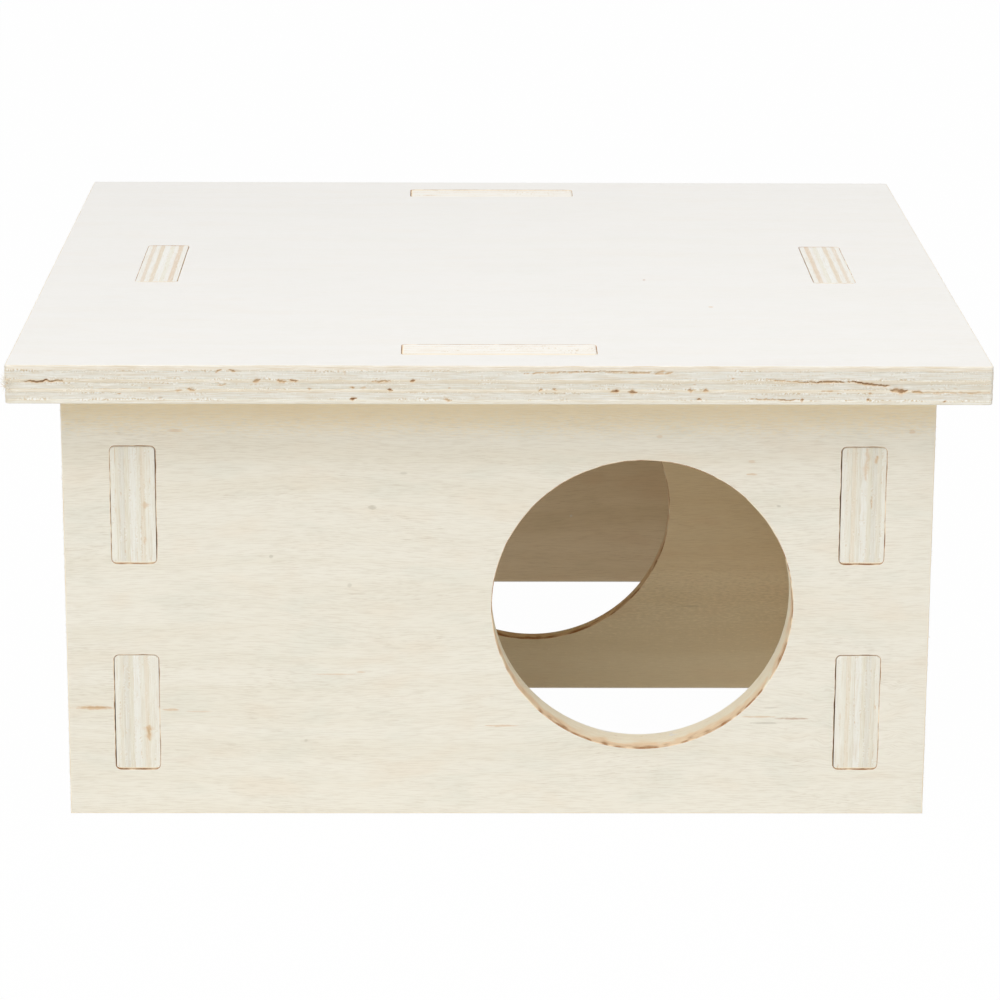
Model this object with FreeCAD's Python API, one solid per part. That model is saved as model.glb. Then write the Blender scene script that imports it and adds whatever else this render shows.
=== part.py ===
"""A plug-together plywood house for a hamster.

Four walls and a partition stand on the ground and lock into each other with
through tabs. A flat roof drops over one more tab on top of each wall and lifts
straight off. The house has no floor panel.

Millimetres. The origin is on the ground under the middle of the roof. +Z is
up, the entrance faces -Y, and +X is to the right as seen from the front.
"""
import FreeCAD, Part
import os

# The boards
WALL_PLY = 9.2
PARTITION_PLY = 4.0
ROOF_PLY = 8.0
WALL_HEIGHT = 91.5

# The plan of the walls, measured over their outer faces
SIDE_SPACING = 160.0
HOUSE_DEPTH = 180.0
PARTITION_Y = -3.5

# How far the front and the back wall run out past each side wall
FRONT_OVERRUN = 10.0

# How far the roof runs out past the front and the back wall, on all four sides
ROOF_OVERHANG = 10.0
ROOF_CORNER_RADIUS = 0.8

# The round way in, and the round way through the partition
ENTRANCE_DIAMETER = 62.5
ENTRANCE_X = 30.0
ENTRANCE_HEIGHT = 45.75
DOORWAY_DIAMETER = 62.5
DOORWAY_X = 8.9
DOORWAY_HEIGHT = 43.4
RIM_ROUNDING = 0.5

# The tabs on the upright edges, two on each edge
TAB_HEIGHT = 25.0
LOWER_TAB_BASE = 10.0
TAB_SPACING = 45.0
TABS_ON_AN_EDGE = 2

# The tab on the top edge of each outer wall
ROOF_TAB_LENGTH = 40.0

# Every tab has rounded corners, seen on its end, and its slot follows them at a clearance
TAB_CORNER_RADIUS = 1.0
WALL_SLOT_CLEARANCE = 0.25
ROOF_SLOT_CLEARANCE = 0.3

# Worked out from the sizes above
FRONT_WIDTH = SIDE_SPACING + 2 * FRONT_OVERRUN
ROOF_WIDTH = FRONT_WIDTH + 2 * ROOF_OVERHANG
ROOF_DEPTH = HOUSE_DEPTH + 2 * ROOF_OVERHANG
INNER_DEPTH = HOUSE_DEPTH - 2 * WALL_PLY
INNER_WIDTH = SIDE_SPACING - 2 * WALL_PLY
FRONT_WALL_Y = -(HOUSE_DEPTH - WALL_PLY) / 2
BACK_WALL_Y = -FRONT_WALL_Y
RIGHT_WALL_X = (SIDE_SPACING - WALL_PLY) / 2
LEFT_WALL_X = -RIGHT_WALL_X
UPRIGHT_TAB_CENTRES = [
    LOWER_TAB_BASE + TAB_HEIGHT / 2 + row * TAB_SPACING
    for row in range(TABS_ON_AN_EDGE)
]

X_AXIS = FreeCAD.Vector(1, 0, 0)
Y_AXIS = FreeCAD.Vector(0, 1, 0)
Z_AXIS = FreeCAD.Vector(0, 0, 1)
QUARTER_TURN = 90

# Two lengths or directions closer than this are the same
TOLERANCE = 1e-6


def rounded_plate(width, height, thickness, radius):
    """A plate with rounded corners, centred on the origin, lying in the XY plane."""
    half_width = width / 2
    half_height = height / 2
    plate = Part.makeBox(
        width, height, thickness, FreeCAD.Vector(-half_width, -half_height, -thickness / 2)
    )
    corners = [edge for edge in plate.Edges if edge_runs_along(edge, Z_AXIS)]
    return plate.makeFillet(radius, corners)


def edge_runs_along(edge, direction):
    """Whether a straight edge is parallel to a direction."""
    if not isinstance(edge.Curve, Part.Line):
        return False
    return edge.tangentAt(edge.FirstParameter).cross(direction).Length < TOLERANCE


def stand_facing_front(shape):
    """Turn a plate that lies in the XY plane so that it stands in the XZ plane."""
    shape.rotate(FreeCAD.Vector(), X_AXIS, QUARTER_TURN)
    return shape


def stand_facing_side(shape):
    """Turn a plate that lies in the XY plane so that it stands in the YZ plane."""
    shape.rotate(FreeCAD.Vector(), X_AXIS, QUARTER_TURN)
    shape.rotate(FreeCAD.Vector(), Z_AXIS, QUARTER_TURN)
    return shape


def cross_board(width, ply):
    """A standing board that runs along X, centred on the YZ plane, with its foot on the ground."""
    return Part.makeBox(width, ply, WALL_HEIGHT, FreeCAD.Vector(-width / 2, -ply / 2, 0))


def long_board(depth):
    """A standing board that runs along Y, centred on the XZ plane, with its foot on the ground."""
    return Part.makeBox(WALL_PLY, depth, WALL_HEIGHT, FreeCAD.Vector(-WALL_PLY / 2, -depth / 2, 0))


def roof_tab():
    """The tab on the top edge of a board that runs along X, flush with the top of the roof.

    Half of it lies inside the board.
    """
    tab = rounded_plate(ROOF_TAB_LENGTH, WALL_PLY, 2 * ROOF_PLY, TAB_CORNER_RADIUS)
    tab.translate(FreeCAD.Vector(0, 0, WALL_HEIGHT))
    return tab


def upright_tabs(half_length, ply):
    """The tabs on both upright edges of a board that runs along X.

    Each is flush with the far face of the board that it passes through, and half
    of it lies inside its own board.
    """
    tabs = []
    for side in (-1, 1):
        for height in UPRIGHT_TAB_CENTRES:
            tab = stand_facing_side(
                rounded_plate(ply, TAB_HEIGHT, 2 * WALL_PLY, TAB_CORNER_RADIUS)
            )
            tab.translate(FreeCAD.Vector(side * half_length, 0, height))
            tabs.append(tab)
    return tabs


def turn_to_run_along_y(shapes):
    """Turn shapes made for a board along X so that they suit a board along Y."""
    for shape in shapes:
        shape.rotate(FreeCAD.Vector(), Z_AXIS, QUARTER_TURN)
    return shapes


def upright_slots_facing_front():
    """Slots through a wall that faces the front, one for each tab of the two side walls."""
    slots = []
    for wall_x in (LEFT_WALL_X, RIGHT_WALL_X):
        for height in UPRIGHT_TAB_CENTRES:
            slot = stand_facing_front(slot_cutter(WALL_PLY, TAB_HEIGHT, WALL_SLOT_CLEARANCE))
            slot.translate(FreeCAD.Vector(wall_x, 0, height))
            slots.append(slot)
    return slots


def upright_slots_facing_side():
    """Slots through a side wall, one for each tab of the partition."""
    slots = []
    for height in UPRIGHT_TAB_CENTRES:
        slot = stand_facing_side(slot_cutter(PARTITION_PLY, TAB_HEIGHT, WALL_SLOT_CLEARANCE))
        slot.translate(FreeCAD.Vector(0, PARTITION_Y, height))
        slots.append(slot)
    return slots


def slot_cutter(width, length, clearance):
    """The space for a tab that passes right through a board, lying in the XY plane."""
    thickness = 2 * max(WALL_PLY, ROOF_PLY)
    return rounded_plate(
        width + 2 * clearance, length + 2 * clearance, thickness, TAB_CORNER_RADIUS + clearance
    )


def round_opening(board, diameter, x, height):
    """Cut a round way through a board that runs along X, and ease both of its rims."""
    cutter = Part.makeCylinder(
        diameter / 2, 2 * WALL_PLY, FreeCAD.Vector(x, -WALL_PLY, height), Y_AXIS
    )
    opened = board.cut(cutter)
    rims = [
        edge
        for edge in opened.Edges
        if isinstance(edge.Curve, Part.Circle) and abs(edge.Curve.Radius - diameter / 2) < TOLERANCE
    ]
    return opened.makeFillet(RIM_ROUNDING, rims)


def join(board, tabs):
    """Make a board and its tabs one solid with no seams across its faces."""
    return board.fuse(tabs).removeSplitter()


def front_wall():
    """The wall with the entrance."""
    board = join(cross_board(FRONT_WIDTH, WALL_PLY), [roof_tab()])
    board = board.cut(upright_slots_facing_front())
    board = round_opening(board, ENTRANCE_DIAMETER, ENTRANCE_X, ENTRANCE_HEIGHT)
    board.translate(FreeCAD.Vector(0, FRONT_WALL_Y, 0))
    return board


def back_wall():
    """The closed wall opposite the entrance."""
    board = join(cross_board(FRONT_WIDTH, WALL_PLY), [roof_tab()])
    board = board.cut(upright_slots_facing_front())
    board.translate(FreeCAD.Vector(0, BACK_WALL_Y, 0))
    return board


def side_wall(wall_x):
    """A wall between the front and the back wall, whose tabs pass through both."""
    tabs = turn_to_run_along_y(upright_tabs(INNER_DEPTH / 2, WALL_PLY) + [roof_tab()])
    board = join(long_board(INNER_DEPTH), tabs)
    board = board.cut(upright_slots_facing_side())
    board.translate(FreeCAD.Vector(wall_x, 0, 0))
    return board


def partition():
    """The thin inner wall that parts the two rooms, whose tabs pass through the side walls."""
    board = cross_board(INNER_WIDTH, PARTITION_PLY)
    board = join(board, upright_tabs(INNER_WIDTH / 2, PARTITION_PLY))
    board = round_opening(board, DOORWAY_DIAMETER, DOORWAY_X, DOORWAY_HEIGHT)
    board.translate(FreeCAD.Vector(0, PARTITION_Y, 0))
    return board


def roof():
    """The flat roof with a slot for the top tab of each wall."""
    board = rounded_plate(ROOF_WIDTH, ROOF_DEPTH, ROOF_PLY, ROOF_CORNER_RADIUS)
    slots = []
    for wall_y in (FRONT_WALL_Y, BACK_WALL_Y):
        slot = slot_cutter(ROOF_TAB_LENGTH, WALL_PLY, ROOF_SLOT_CLEARANCE)
        slot.translate(FreeCAD.Vector(0, wall_y, 0))
        slots.append(slot)
    for wall_x in (LEFT_WALL_X, RIGHT_WALL_X):
        slot = slot_cutter(WALL_PLY, ROOF_TAB_LENGTH, ROOF_SLOT_CLEARANCE)
        slot.translate(FreeCAD.Vector(wall_x, 0, 0))
        slots.append(slot)
    board = board.cut(slots)
    board.translate(FreeCAD.Vector(0, 0, WALL_HEIGHT + ROOF_PLY / 2))
    return board


def single_solid(shape):
    """The one solid of a finished panel."""
    solids = shape.Solids
    if len(solids) != 1:
        raise ValueError("a panel came out as {} solids".format(len(solids)))
    return solids[0]


def main():
    """Build every panel and write each to its own file."""
    panels = {
        "front_wall": front_wall(),
        "back_wall": back_wall(),
        "left_wall": side_wall(LEFT_WALL_X),
        "right_wall": side_wall(RIGHT_WALL_X),
        "partition": partition(),
        "roof": roof(),
    }
    os.makedirs("parts", exist_ok=True)
    for name, shape in panels.items():
        panel = single_solid(shape)
        panel.exportStep(os.path.join("parts", name + ".step"))
        box = panel.BoundBox
        print(
            name,
            "valid" if panel.isValid() else "NOT VALID",
            "volume {:.1f} mm3".format(panel.Volume),
            "x {:.2f} to {:.2f}".format(box.XMin, box.XMax),
            "y {:.2f} to {:.2f}".format(box.YMin, box.YMax),
            "z {:.2f} to {:.2f}".format(box.ZMin, box.ZMax),
        )


main()
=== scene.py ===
"""The looks of a plug-together plywood hamster house.

Each board is modelled again round its construction panel, with eased corners,
plies that stand at slightly different heights, glue lines, scorched slots and
torn end grain. Loose fibres are scattered along the sawn edges, and every
surface is dressed in a plywood finish made of shader nodes.

Shapes are worked out in millimetres, in each board's own plane: along the face
grain, across it, and down through the plies from the face that shows. They
become metres, in the house's frame, when a mesh is written.
"""

import logging
import math
from dataclasses import dataclass, field, replace
from enum import Enum
from typing import Sequence, Union

import bpy
import numpy as np
from mathutils import Matrix, Vector, geometry


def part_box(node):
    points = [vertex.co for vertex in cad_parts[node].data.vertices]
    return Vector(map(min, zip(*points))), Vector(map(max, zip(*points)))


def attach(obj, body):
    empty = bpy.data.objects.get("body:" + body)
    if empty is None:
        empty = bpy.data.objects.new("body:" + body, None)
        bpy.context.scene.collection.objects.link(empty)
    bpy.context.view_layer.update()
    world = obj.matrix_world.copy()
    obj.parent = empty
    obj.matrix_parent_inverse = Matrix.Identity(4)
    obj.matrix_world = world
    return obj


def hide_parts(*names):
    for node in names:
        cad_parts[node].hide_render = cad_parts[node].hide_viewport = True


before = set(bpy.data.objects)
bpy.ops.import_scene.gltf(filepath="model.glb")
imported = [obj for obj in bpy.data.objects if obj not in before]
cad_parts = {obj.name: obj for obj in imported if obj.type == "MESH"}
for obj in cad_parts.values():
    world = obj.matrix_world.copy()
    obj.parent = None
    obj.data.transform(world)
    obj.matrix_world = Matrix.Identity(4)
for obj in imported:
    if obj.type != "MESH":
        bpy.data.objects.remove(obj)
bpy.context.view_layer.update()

LOG = logging.getLogger("hamster_house")
MM = 0.001
FULL_TURN = 2 * math.pi
QUARTER_TURN = math.pi / 2
X_AXIS, Y_AXIS = 0, 1

Point = tuple[float, float]
Colour = tuple[float, float, float, float]

BLACK: Colour = (0.0, 0.0, 0.0, 1.0)
WHITE: Colour = (1.0, 1.0, 1.0, 1.0)

# The curve that turns a screen's colours into linear light
BRIGHTEST = 255
STRAIGHT_PART = 0.04045
STRAIGHT_SLOPE = 12.92
CURVE_OFFSET = 0.055
CURVE_POWER = 2.4

# The order in which a board holds the finishes of its shown face, its hidden face and its edges
SHOWN, HIDDEN, EDGE = range(3)


def srgb(red: int, green: int, blue: int) -> Colour:
    """Turn a colour as a screen shows it into the linear colour that a shader takes.

    Args:
        red: Red from 0 to 255.
        green: Green from 0 to 255.
        blue: Blue from 0 to 255.

    Returns:
        The linear colour, opaque.
    """
    def linear(channel: int) -> float:
        """One channel, from 0 to 255, as a linear share."""
        share = channel / BRIGHTEST
        if share <= STRAIGHT_PART:
            return share / STRAIGHT_SLOPE
        return ((share + CURVE_OFFSET) / (1 + CURVE_OFFSET)) ** CURVE_POWER

    return (linear(red), linear(green), linear(blue), 1.0)


# How boards are cut

@dataclass(frozen=True)
class EdgeWork:
    """How a stretch of a board's edge is worked.

    Attributes:
        step: Spacing of the points along it, in millimetres.
        arris: Radius of the eased corner between face and edge, in millimetres.
        relief: Share of the plies' full relief that it shows.
        tears: Torn places in 100 mm of it.
        scorch: How brown the cutter left it, from 0 to 1.
        scorch_depth: How far below the shown face the brown fades, in millimetres.
        wander: How far it strays either way from its line, in millimetres.
        fray: How thickly loose fibres stand on it, from 0 to 1.
    """

    step: float
    arris: float
    relief: float = 1.0
    tears: float = 0.0
    scorch: float = 0.0
    scorch_depth: float = 1.3
    wander: float = 0.0
    fray: float = 0.0


class Stretch(Enum):
    """The kinds of stretch that a board's outline is made of."""

    FRONT_EDGE = EdgeWork(step=0.25, arris=0.22, tears=8.0, fray=1.0)
    SAWN = EdgeWork(step=0.8, arris=0.25, tears=14.0, fray=1.0)
    FOOT = EdgeWork(step=1.5, arris=0.25, relief=0.6)
    SEATED = EdgeWork(step=1.5, arris=0.2, relief=0.3)
    FLANK = EdgeWork(step=1.0, arris=1.0, relief=0.0, scorch=1.2, scorch_depth=40.0)
    TAB_END = EdgeWork(step=0.4, arris=0.08, relief=0.8, tears=10.0, fray=0.5)
    ROOF_TAB_END = EdgeWork(step=0.4, arris=0.06, relief=0.5, tears=3.0)
    WALL_SLOT = EdgeWork(step=0.6, arris=0.12, relief=0.0, scorch=1.6, scorch_depth=6.0, wander=0.07)
    ROOF_SLOT = EdgeWork(step=0.6, arris=0.04, relief=0.0, scorch=1.2, scorch_depth=4.0, wander=0.03)
    # The entrance's scorch also lays the painted light that brightens its rim.
    ENTRANCE = EdgeWork(step=0.4, arris=0.16, relief=0.5, tears=4.0, scorch=1.0, scorch_depth=3.2)
    DOORWAY = EdgeWork(step=0.6, arris=0.15, relief=0.5, tears=5.0, scorch=0.9, scorch_depth=5.0)


@dataclass
class Outline:
    """A closed outline in a board's plane, walked with the wood on the left.

    Attributes:
        pen: Where the walk has got to.
        points: The points walked through so far.
        works: The kind of stretch that leaves each point.
    """

    pen: Point
    points: list[Point] = field(default_factory=list)
    works: list[Stretch] = field(default_factory=list)

    LEAST_ARC_STEPS = 6

    def line_to(self, end: Point, stretch: Stretch) -> None:
        """Walk straight to a point.

        Args:
            end: Where the line ends.
            stretch: How its edge is worked.
        """
        reach = (end[0] - self.pen[0], end[1] - self.pen[1])
        steps = max(1, math.ceil(math.hypot(*reach) / stretch.value.step))
        for step in range(steps):
            share = step / steps
            self.points.append((self.pen[0] + reach[0] * share, self.pen[1] + reach[1] * share))
            self.works.append(stretch)
        self.pen = end

    def arc_about(self, centre: Point, turn: float, stretch: Stretch) -> None:
        """Walk round a centre.

        Args:
            centre: The middle of the arc.
            turn: How far to turn, in radians, anticlockwise if positive.
            stretch: How its edge is worked.
        """
        arm = complex(self.pen[0] - centre[0], self.pen[1] - centre[1])
        length = abs(arm) * abs(turn)
        steps = max(self.LEAST_ARC_STEPS, math.ceil(length / stretch.value.step))
        for step in range(steps + 1):
            turned = arm * complex(math.cos(turn * step / steps), math.sin(turn * step / steps))
            place = (centre[0] + turned.real, centre[1] + turned.imag)
            if step < steps:
                self.points.append(place)
                self.works.append(stretch)
            self.pen = place

    def tab(
        self, root: Point, far_root: Point, reach: Point, end: Stretch = Stretch.TAB_END
    ) -> None:
        """Walk along the board to a tab and round it.

        Args:
            root: The corner where the tab begins.
            far_root: The corner where it ends.
            reach: The way from a root corner to the tab's end.
            end: How the tab's end is worked.
        """
        self.line_to(root, Stretch.SEATED)
        self.line_to((root[0] + reach[0], root[1] + reach[1]), Stretch.FLANK)
        self.line_to((far_root[0] + reach[0], far_root[1] + reach[1]), end)
        self.line_to(far_root, Stretch.FLANK)


def round_hole(centre: Point, diameter: float, stretch: Stretch) -> Outline:
    """The outline of a round opening.

    Args:
        centre: The middle of the opening.
        diameter: Its width.
        stretch: How its rim is worked.

    Returns:
        The outline, walked clockwise from its left.
    """
    outline = Outline((centre[0] - diameter / 2, centre[1]))
    outline.arc_about(centre, -FULL_TURN, stretch)
    return outline


@dataclass(frozen=True)
class Fit:
    """How a slot sits round its tab, which makes its gaps uneven.

    Attributes:
        right: How far the slot lies to the right, in millimetres.
        up: How far it lies up the board, in millimetres.
        tilt: How far it leans, in radians, anticlockwise if positive.
    """

    right: float = 0.0
    up: float = 0.0
    tilt: float = 0.0


def slot_hole(centre: Point, size: Point, radius: float, fit: Fit, stretch: Stretch) -> Outline:
    """The outline of a slot for a tab.

    Args:
        centre: The middle of the tab.
        size: The slot's width and height.
        radius: The radius of its corners.
        fit: How it sits round its tab.
        stretch: How its edge is worked.

    Returns:
        The outline, walked clockwise from the foot of its left side.
    """
    right, top = size[0] / 2, size[1] / 2
    outline = Outline((-right, -top + radius))
    corners = [
        ((-right, top), (1, -1)),
        ((right, top), (-1, -1)),
        ((right, -top), (-1, 1)),
        ((-right, -top), (1, 1)),
    ]
    for place, (inward, down) in corners:
        middle = (place[0] + inward * radius, place[1] + down * radius)
        upright = inward == -down
        entry = (place[0], middle[1]) if upright else (middle[0], place[1])
        outline.line_to(entry, stretch)
        outline.arc_about(middle, -QUARTER_TURN, stretch)
    lean = complex(math.cos(fit.tilt), math.sin(fit.tilt))
    shift = complex(centre[0] + fit.right, centre[1] + fit.up)
    placed = [complex(*point) * lean + shift for point in outline.points]
    outline.points = [(point.real, point.imag) for point in placed]
    return outline


# The wood in the mesh

@dataclass(frozen=True)
class Ripple:
    """One layer of noise on a board's edge.

    Attributes:
        along: Millimetres along the edge in one cell of the noise.
        down: Millimetres, or plies, downwards in one cell.
        apart: Sets it apart from the other layers.
        height: How much it adds where it is strongest.
    """

    along: float
    down: float
    apart: float = 0.0
    height: float = 1.0


class Grain:
    """Smooth seeded noise between 0 and 1, which shapes the wood."""

    CELLS = 256

    def __init__(self, seed: int) -> None:
        """Fill the table of random values from a seed."""
        self.table = np.random.default_rng(seed).random((self.CELLS, self.CELLS))

    def at(self, u: np.ndarray, v: Union[np.ndarray, float] = 0.0) -> np.ndarray:
        """Read the noise.

        Args:
            u: Places along its first axis, where a whole number is one cell.
            v: Places along its second axis.

        Returns:
            The noise at each place.
        """
        u, v = np.broadcast_arrays(np.asarray(u, float), np.asarray(v, float))
        column, row = np.floor(u).astype(int), np.floor(v).astype(int)
        right, down = u - column, v - row
        right = right * right * (3 - 2 * right)
        down = down * down * (3 - 2 * down)

        def cell(column_step: int, row_step: int) -> np.ndarray:
            """The table's value at a corner of each place's cell."""
            return self.table[(column + column_step) % self.CELLS, (row + row_step) % self.CELLS]

        near = cell(0, 0) * (1 - right) + cell(1, 0) * right
        far = cell(0, 1) * (1 - right) + cell(1, 1) * right
        return near * (1 - down) + far * down

    def layer(
        self, ripple: Ripple, run: np.ndarray, levels: Union[np.ndarray, float] = 0.0
    ) -> np.ndarray:
        """Read one layer, from 0 to its height.

        Args:
            ripple: The layer.
            run: Place along an outline.
            levels: Depths, or numbers of plies.

        Returns:
            The layer at each place.
        """
        return ripple.height * self.at(run / ripple.along, levels / ripple.down + ripple.apart)


@dataclass(frozen=True)
class Split:
    """A split or a torn place in an edge, as a line with a width, in millimetres.

    Attributes:
        start: Place along the edge and depth from the shown face where it begins.
        end: The same where it ends.
        width: Its widest, from ply to ply.
        depth: How deep it goes.
        shade: How dark it is inside, from 0 to 1.
    """

    start: Point
    end: Point
    width: float = 0.4
    depth: float = 0.2
    shade: float = 1.0

    def moved_to(self, place: float) -> "Split":
        """The same split, beginning at another place along the edge."""
        reach = self.end[0] - self.start[0]
        return replace(self, start=(place, self.start[1]), end=(place + reach, self.end[1]))


@dataclass(frozen=True)
class PlyStack:
    """The plies of a board, from its shown face inwards.

    Attributes:
        lines: The depth of each glue line, as a share of the board.
        side_tones: The colour of each ply on an edge that runs along the face grain.
        end_tones: The colour of each ply on an edge that runs across it.
    """

    lines: tuple[float, ...]
    side_tones: tuple[Colour, ...]
    end_tones: tuple[Colour, ...]


@dataclass
class Rings:
    """An outline carried down through a board's plies.

    Attributes:
        places: Places in the board's own axes, by level and by point, in millimetres.
        torn: How torn the wood is at each place, from 0 to 1.
        scorch: How brown it is, from 0 to 1.
        fray: How thickly loose fibres stand there, from 0 to 1.
    """

    places: np.ndarray
    torn: np.ndarray
    scorch: np.ndarray
    fray: np.ndarray


@dataclass
class Walk:
    """An outline as it is walked and cut.

    Attributes:
        outline: The outline.
        grain: The noise that shapes its edge.
        levels: The depths at which it is cut, as a column.
        run: How far along the walk each point is.
        lengths: Length of the step that leaves each point.
        normals: The way that each step's edge faces.
        facing: 1 where the edge faces along the face grain, and 0 where it faces across.
    """

    outline: Outline
    grain: Grain
    levels: np.ndarray
    run: np.ndarray
    lengths: np.ndarray
    normals: np.ndarray
    facing: np.ndarray

    @classmethod
    def along(cls, outline: Outline, grain: Grain, levels: np.ndarray) -> "Walk":
        """Walk an outline and measure it."""
        points = np.array(outline.points)
        after = np.roll(points, -1, axis=0) - points
        lengths = np.hypot(after[:, 0], after[:, 1])
        normals = np.stack([after[:, 1], -after[:, 0]], axis=1) / lengths[:, None]
        run = np.concatenate([[0.0], np.cumsum(lengths)[:-1]])
        return cls(outline, grain, levels[:, None], run, lengths, normals, np.abs(normals[:, 0]))

    def works(self, name: str) -> np.ndarray:
        """One of the sizes of the edge work at every point."""
        return np.array([getattr(stretch.value, name) for stretch in self.outline.works])


@dataclass
class EdgeCutter:
    """Works a board's edges: eases the corners and brings out the plies.

    Attributes:
        ply: The board's thickness in millimetres.
        plies: What it is made of.
        seed: Sets its random draws.
        splits: Chosen splits along the outer outline, from where its walk begins; not used.
    """

    ply: float
    plies: PlyStack
    seed: int
    splits: tuple[Split, ...] = ()

    # Where an edge is cut into levels
    GLUE_HALF_WIDTH = 0.09
    LEAST_STEP = 0.03
    WIDEST_STEP = 0.2
    COARSE_STEP = 1.6
    CORNER_SHARES = (0.0, 0.06, 0.2, 0.4, 0.7, 1.0)
    SHARP_TURN = 0.4

    # How deep the saw goes into the plies, and how it chips the wood beside a glue line
    SAW_DEPTH = 0.02
    SAW_WAVES = Ripple(along=11, down=6, height=0.03)
    PLY_STEPS = Ripple(along=30, down=1 / 7.3, height=0.03)
    FUZZ = Ripple(along=0.55, down=0.5, apart=40, height=0.05)
    TEETH = Ripple(along=0.45, down=1 / 3.1, apart=90, height=0.06)
    CHIPS = Ripple(along=2.1, down=1 / 5.7, apart=130)
    CHIP_DEPTH = 0.07
    CHIP_TEAR = 0.35
    CHIP_GAIN = 3
    CHIP_LOSS = 1.9
    WANDER = Ripple(along=2.3, down=4, apart=20, height=2)

    # The small torn places that are drawn at random, in millimetres
    SEED_SPACING = 31
    TEARS_COUNTED_ON = 100
    TEAR_FROM_GLUE = (0.05, 0.3)
    LEAST_TEAR = 0.25
    COMMON_TEAR = 0.5
    TEAR_FALL = 0.06
    TEAR_WIDTH = (0.2, 0.4)
    TEAR_DEPTH = (0.08, 0.25)
    TEAR_SHADE = (0.3, 0.9)

    # The shape of a split
    SPLIT_REACH = 1.0
    SPLIT_TIP = 0.3
    LEAST_SPLIT = 0.01
    WIDEST_JAG = 0.5
    JAGS = Ripple(along=1.1, down=1 / 3)
    FINE_JAGS = Ripple(along=0.4, down=1, apart=33, height=0.6)
    END_WIDTH = 0.45
    LEAST_SWELL = 0.3
    SWELL = Ripple(along=0.6, down=1 / 5, apart=60, height=1.1)
    HALO_SHADE = 0.3
    HALO_WIDTH = 2.4
    LEAST_DARK = 0.6
    DARK = Ripple(along=1.4, down=1 / 9, apart=20, height=0.6)
    DARK_GAIN = 2

    # Where the cutter scorched the wood
    SEAM = 12.0
    BROAD_SCORCH = Ripple(along=5, down=3, apart=170, height=0.6)
    FINE_SCORCH = Ripple(along=1.3, down=1.5, apart=190, height=0.4)
    SCORCH_GAIN = 2.1
    SCORCH_LOSS = 0.15

    # Where loose fibres stand
    FRAY_HALF_WIDTH = 0.3
    FRAY_PATCHES = Ripple(along=7, down=1.5, apart=210, height=2.6)
    FRAY_LOSS = 0.9
    FRAY_MARGIN = 0.4

    def levels(self, outline: Outline) -> np.ndarray:
        """Choose the depths at which an outline is cut.

        Args:
            outline: The outline.

        Returns:
            Depths in millimetres from the shown face to the hidden one.
        """
        works = {stretch.value for stretch in outline.works}
        near = {share * work.arris for work in works for share in self.CORNER_SHARES}
        marks = near | {self.ply - depth for depth in near}
        widest = self.COARSE_STEP
        if any(work.relief > 0 for work in works):
            widest = self.WIDEST_STEP
            for line in self.plies.lines:
                middle = line * self.ply
                marks |= {middle - self.GLUE_HALF_WIDTH, middle, middle + self.GLUE_HALF_WIDTH}
        ordered = [0.0]
        for mark in sorted(marks):
            if mark - ordered[-1] > self.LEAST_STEP:
                pieces = math.ceil((mark - ordered[-1]) / widest)
                ordered.extend(np.linspace(ordered[-1], mark, pieces + 1)[1:])
        ordered[-1] = self.ply
        return np.array(ordered)

    def rings(self, outline: Outline, splits: Sequence[Split] = ()) -> Rings:
        """Carry an outline down through the plies.

        Args:
            outline: The outline.
            splits: Chosen splits, placed along the outline from where its walk begins.

        Returns:
            Its rings.
        """
        grain = Grain(self.seed + len(outline.points))
        walk = Walk.along(outline, grain, self.levels(outline))
        relief, torn = self.relief(walk)
        for split in list(splits) + self.random_tears(walk):
            self.open_split(split, walk, relief, torn)

        share = walk.works("relief")
        stray = walk.works("wander") * (grain.layer(self.WANDER, walk.run, walk.levels) - 1)
        inset = self.arris_inset(walk.levels, walk.works("arris")) + relief * share + stray
        places = np.empty(inset.shape + (3,))
        places[..., :2] = np.array(outline.points) + self.mitre(walk.normals, inset)
        places[..., 2] = walk.levels
        return Rings(places, torn * (share > 0), self.scorch(walk), self.fray(walk))

    def arris_inset(self, levels: np.ndarray, radius: np.ndarray) -> np.ndarray:
        """How far the eased corners lie inside the edge's line.

        Args:
            levels: Depths, as a column.
            radius: The corner's radius at each point.

        Returns:
            Insets by level and point.
        """
        from_face = np.minimum(levels, self.ply - levels)
        short = np.clip(radius - from_face, 0, None)
        return radius - np.sqrt(np.clip(radius**2 - short**2, 0, None))

    def relief(self, walk: Walk) -> tuple[np.ndarray, np.ndarray]:
        """Work out how the saw left each ply.

        Args:
            walk: The walk of the outline.

        Returns:
            How deep the surface lies below the edge's line, and how torn it is.
        """
        grain, run, levels, facing = walk.grain, walk.run, walk.levels, walk.facing
        lines = np.array(self.plies.lines) * self.ply
        ply_number = np.searchsorted(lines, levels[:, 0])[:, None]
        crossed = ply_number % 2
        end_grain = crossed * (1 - facing) + (1 - crossed) * facing
        saw = self.SAW_DEPTH + grain.layer(self.SAW_WAVES, run, levels)
        stands = grain.layer(self.PLY_STEPS, run, ply_number)
        fuzz = end_grain * grain.layer(self.FUZZ, run, levels)
        teeth = end_grain * grain.layer(self.TEETH, run, ply_number)
        relief = saw + stands + fuzz + teeth
        torn = np.zeros_like(relief)
        for number, line in enumerate(lines):
            near = np.exp(-(((levels - line) / self.GLUE_HALF_WIDTH) ** 2))
            broken = grain.layer(self.CHIPS, run, number)
            relief = relief + self.CHIP_DEPTH * near * broken
            bare = np.clip(broken * self.CHIP_GAIN - self.CHIP_LOSS, 0, 1)
            torn = np.maximum(torn, self.CHIP_TEAR * near * bare)
        return relief, torn

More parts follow.
